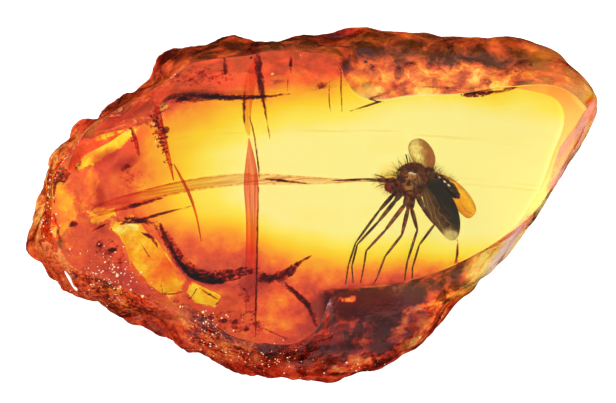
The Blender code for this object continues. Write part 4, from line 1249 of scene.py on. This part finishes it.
def make_grains(stone):
    """Pale grains that glow as painted glints, and dark specks, on the broken front side."""
    chance = random.Random(5)
    pale, dark = [], []
    for count, centre, spread, sizes, bucket in (
        (130, (-12.6, -4.5), (1.2, 0.8), (0.012, 0.045), pale),
        (70, (-6.4, -7.8), (0.8, 0.8), (0.012, 0.05), pale),
        (60, (-2.6, -9.9), (1.6, 0.5), (0.012, 0.05), pale),
        (50, (-16.7, 0.6), (0.4, 2.0), (0.02, 0.06), pale),
        (16, (3.0, -10.2), (1.6, 0.4), (0.02, 0.06), pale),
        (12, (7.0, 9.6), (4.5, 0.5), (0.04, 0.10), dark),
    ):
        for number in range(count):
            x, y = chance.gauss(centre[0], spread[0]), chance.gauss(centre[1], spread[1])
            height, normal = surface_height(stone, x, y)
            if height is None:
                continue
            size = chance.uniform(*sizes)
            bucket.append(((x, y, height - size * 0.3), normal, size * chance.uniform(0.7, 1.5), size))
    for (x, y), size in (
        ((-12.2, -4.5), 0.2), ((-10.6, -5.8), 0.17), ((-6.8, -6.8), 0.16), ((-6.6, -7.4), 0.15),
        ((-13.2, -4.3), 0.1), ((-12.0, -5.2), 0.13), ((-12.4, -5.3), 0.11), ((-6.2, -8.2), 0.12),
        ((-3.1, -10.1), 0.13), ((-1.7, -10.7), 0.1),
    ):
        height, normal = surface_height(stone, x, y)
        if height:
            pale.append(((x, y, height - size * 0.3), normal, size * 0.55, size * 0.6))

    def grain():
        bpy.ops.mesh.primitive_ico_sphere_add(subdivisions=2, radius=MM)
        made = bpy.context.object
        roughen(made, 0.9, 0.9)
        apply_modifiers(made)
        return made

    # A thin white film that glows: a painted glint on an edge of the crust.
    slit = []
    for x, y, width in ((-15.55, -4.2, 0.08), (-15.15, -4.9, 0.22), (-14.8, -5.5, 0.18)):
        height = surface_height(stone, x, y)[0] or 5.0
        slit.append((x, y, width, height + 0.05, height + 0.05))
    settle(film(slit), "painted_glint_slit", plain_finish(
        "painted_white_glint", (1.0, 0.97, 0.94), 0.2, Emission_Color=(1.0, 0.96, 0.92), Emission_Strength=0.7))
    # The pale grains glow: painted glints on the broken crust.
    settle(scatter(grain(), pale), "painted_glint_grains", plain_finish(
        "painted_glint_grain", (1.0, 0.8, 0.52), 0.2, Emission_Color=(1.0, 0.72, 0.42), Emission_Strength=0.35))
    settle(scatter(grain(), dark), "dark_specks",
           plain_finish("dark_speck", (0.06, 0.012, 0.006), 0.5))


# The setting

def make_setting():
    bpy.ops.mesh.primitive_plane_add(size=1.2, location=(0.0, 0.0, -0.25 * MM))
    floor = bpy.context.object
    floor.name = "floor"
    finish = Finish("pale_light_table")
    floor.data.materials.append(finish.surface(
        Base_Color=(0.5, 0.5, 0.5),
        Roughness=0.8,
        Emission_Color=(1.0, 1.0, 1.0),
        Emission_Strength=1.12,
    ))
    floor.visible_glossy = False

    # A white surround that is bright at the level of the table and dim overhead.
    sky = bpy.data.worlds.new("studio")
    sky.use_nodes = True
    nodes, links = sky.node_tree.nodes, sky.node_tree.links
    where, parts = nodes.new("ShaderNodeTexCoord"), nodes.new("ShaderNodeSeparateXYZ")
    fade = nodes.new("ShaderNodeMapRange")
    fade.interpolation_type = "SMOOTHSTEP"
    for number, value in ((1, 0.05), (2, 0.6), (3, 0.85), (4, 0.3)):
        fade.inputs[number].default_value = value
    under = nodes.new("ShaderNodeMath")
    under.operation = "GREATER_THAN"
    under.inputs[1].default_value = -0.02
    links.new(parts.outputs["Z"], under.inputs[0])
    strength = nodes.new("ShaderNodeMath")
    strength.operation = "MULTIPLY"
    links.new(fade.outputs[0], strength.inputs[0])
    links.new(under.outputs[0], strength.inputs[1])
    links.new(where.outputs["Generated"], parts.inputs[0])
    links.new(parts.outputs["Z"], fade.inputs[0])
    links.new(strength.outputs[0], nodes["Background"].inputs["Strength"])
    nodes["Background"].inputs["Color"].default_value = (1.0, 1.0, 1.0, 1.0)
    bpy.context.scene.world = sky

    for name, place, size, power in (
        ("soft_left", (-0.16, 0.12, 0.22), 0.07, 0.45),
        ("soft_right", (0.18, -0.06, 0.16), 0.05, 0.22),
    ):
        bpy.ops.object.light_add(type="AREA", location=place)
        lamp = bpy.context.object
        lamp.name = name
        lamp.data.size = size
        lamp.data.energy = power
        lamp.rotation_euler = (-Vector(place)).to_track_quat("-Z", "Y").to_euler()

    bpy.ops.object.camera_add()
    camera = bpy.context.object
    camera.data.lens = LENS_LENGTH
    camera.data.clip_start = 0.01
    seen_width = STONE_LENGTH * PICTURE_WIDTH / STONE_WIDTH_IN_PICTURE
    distance = seen_width * camera.data.lens / camera.data.sensor_width
    camera.location = Vector((*PICTURE_MIDDLE, FLY_HEIGHT + distance)) * MM
    bpy.context.scene.camera = camera

    scene = bpy.context.scene
    scene.view_settings.view_transform = "Standard"
    scene.cycles.max_bounces = 14
    scene.cycles.transmission_bounces = 14
    scene.cycles.diffuse_bounces = 1
    scene.cycles.transparent_max_bounces = 24


deselect()
make_setting()
stone = make_amber()
make_fly()
make_flaws()
make_grains(stone)
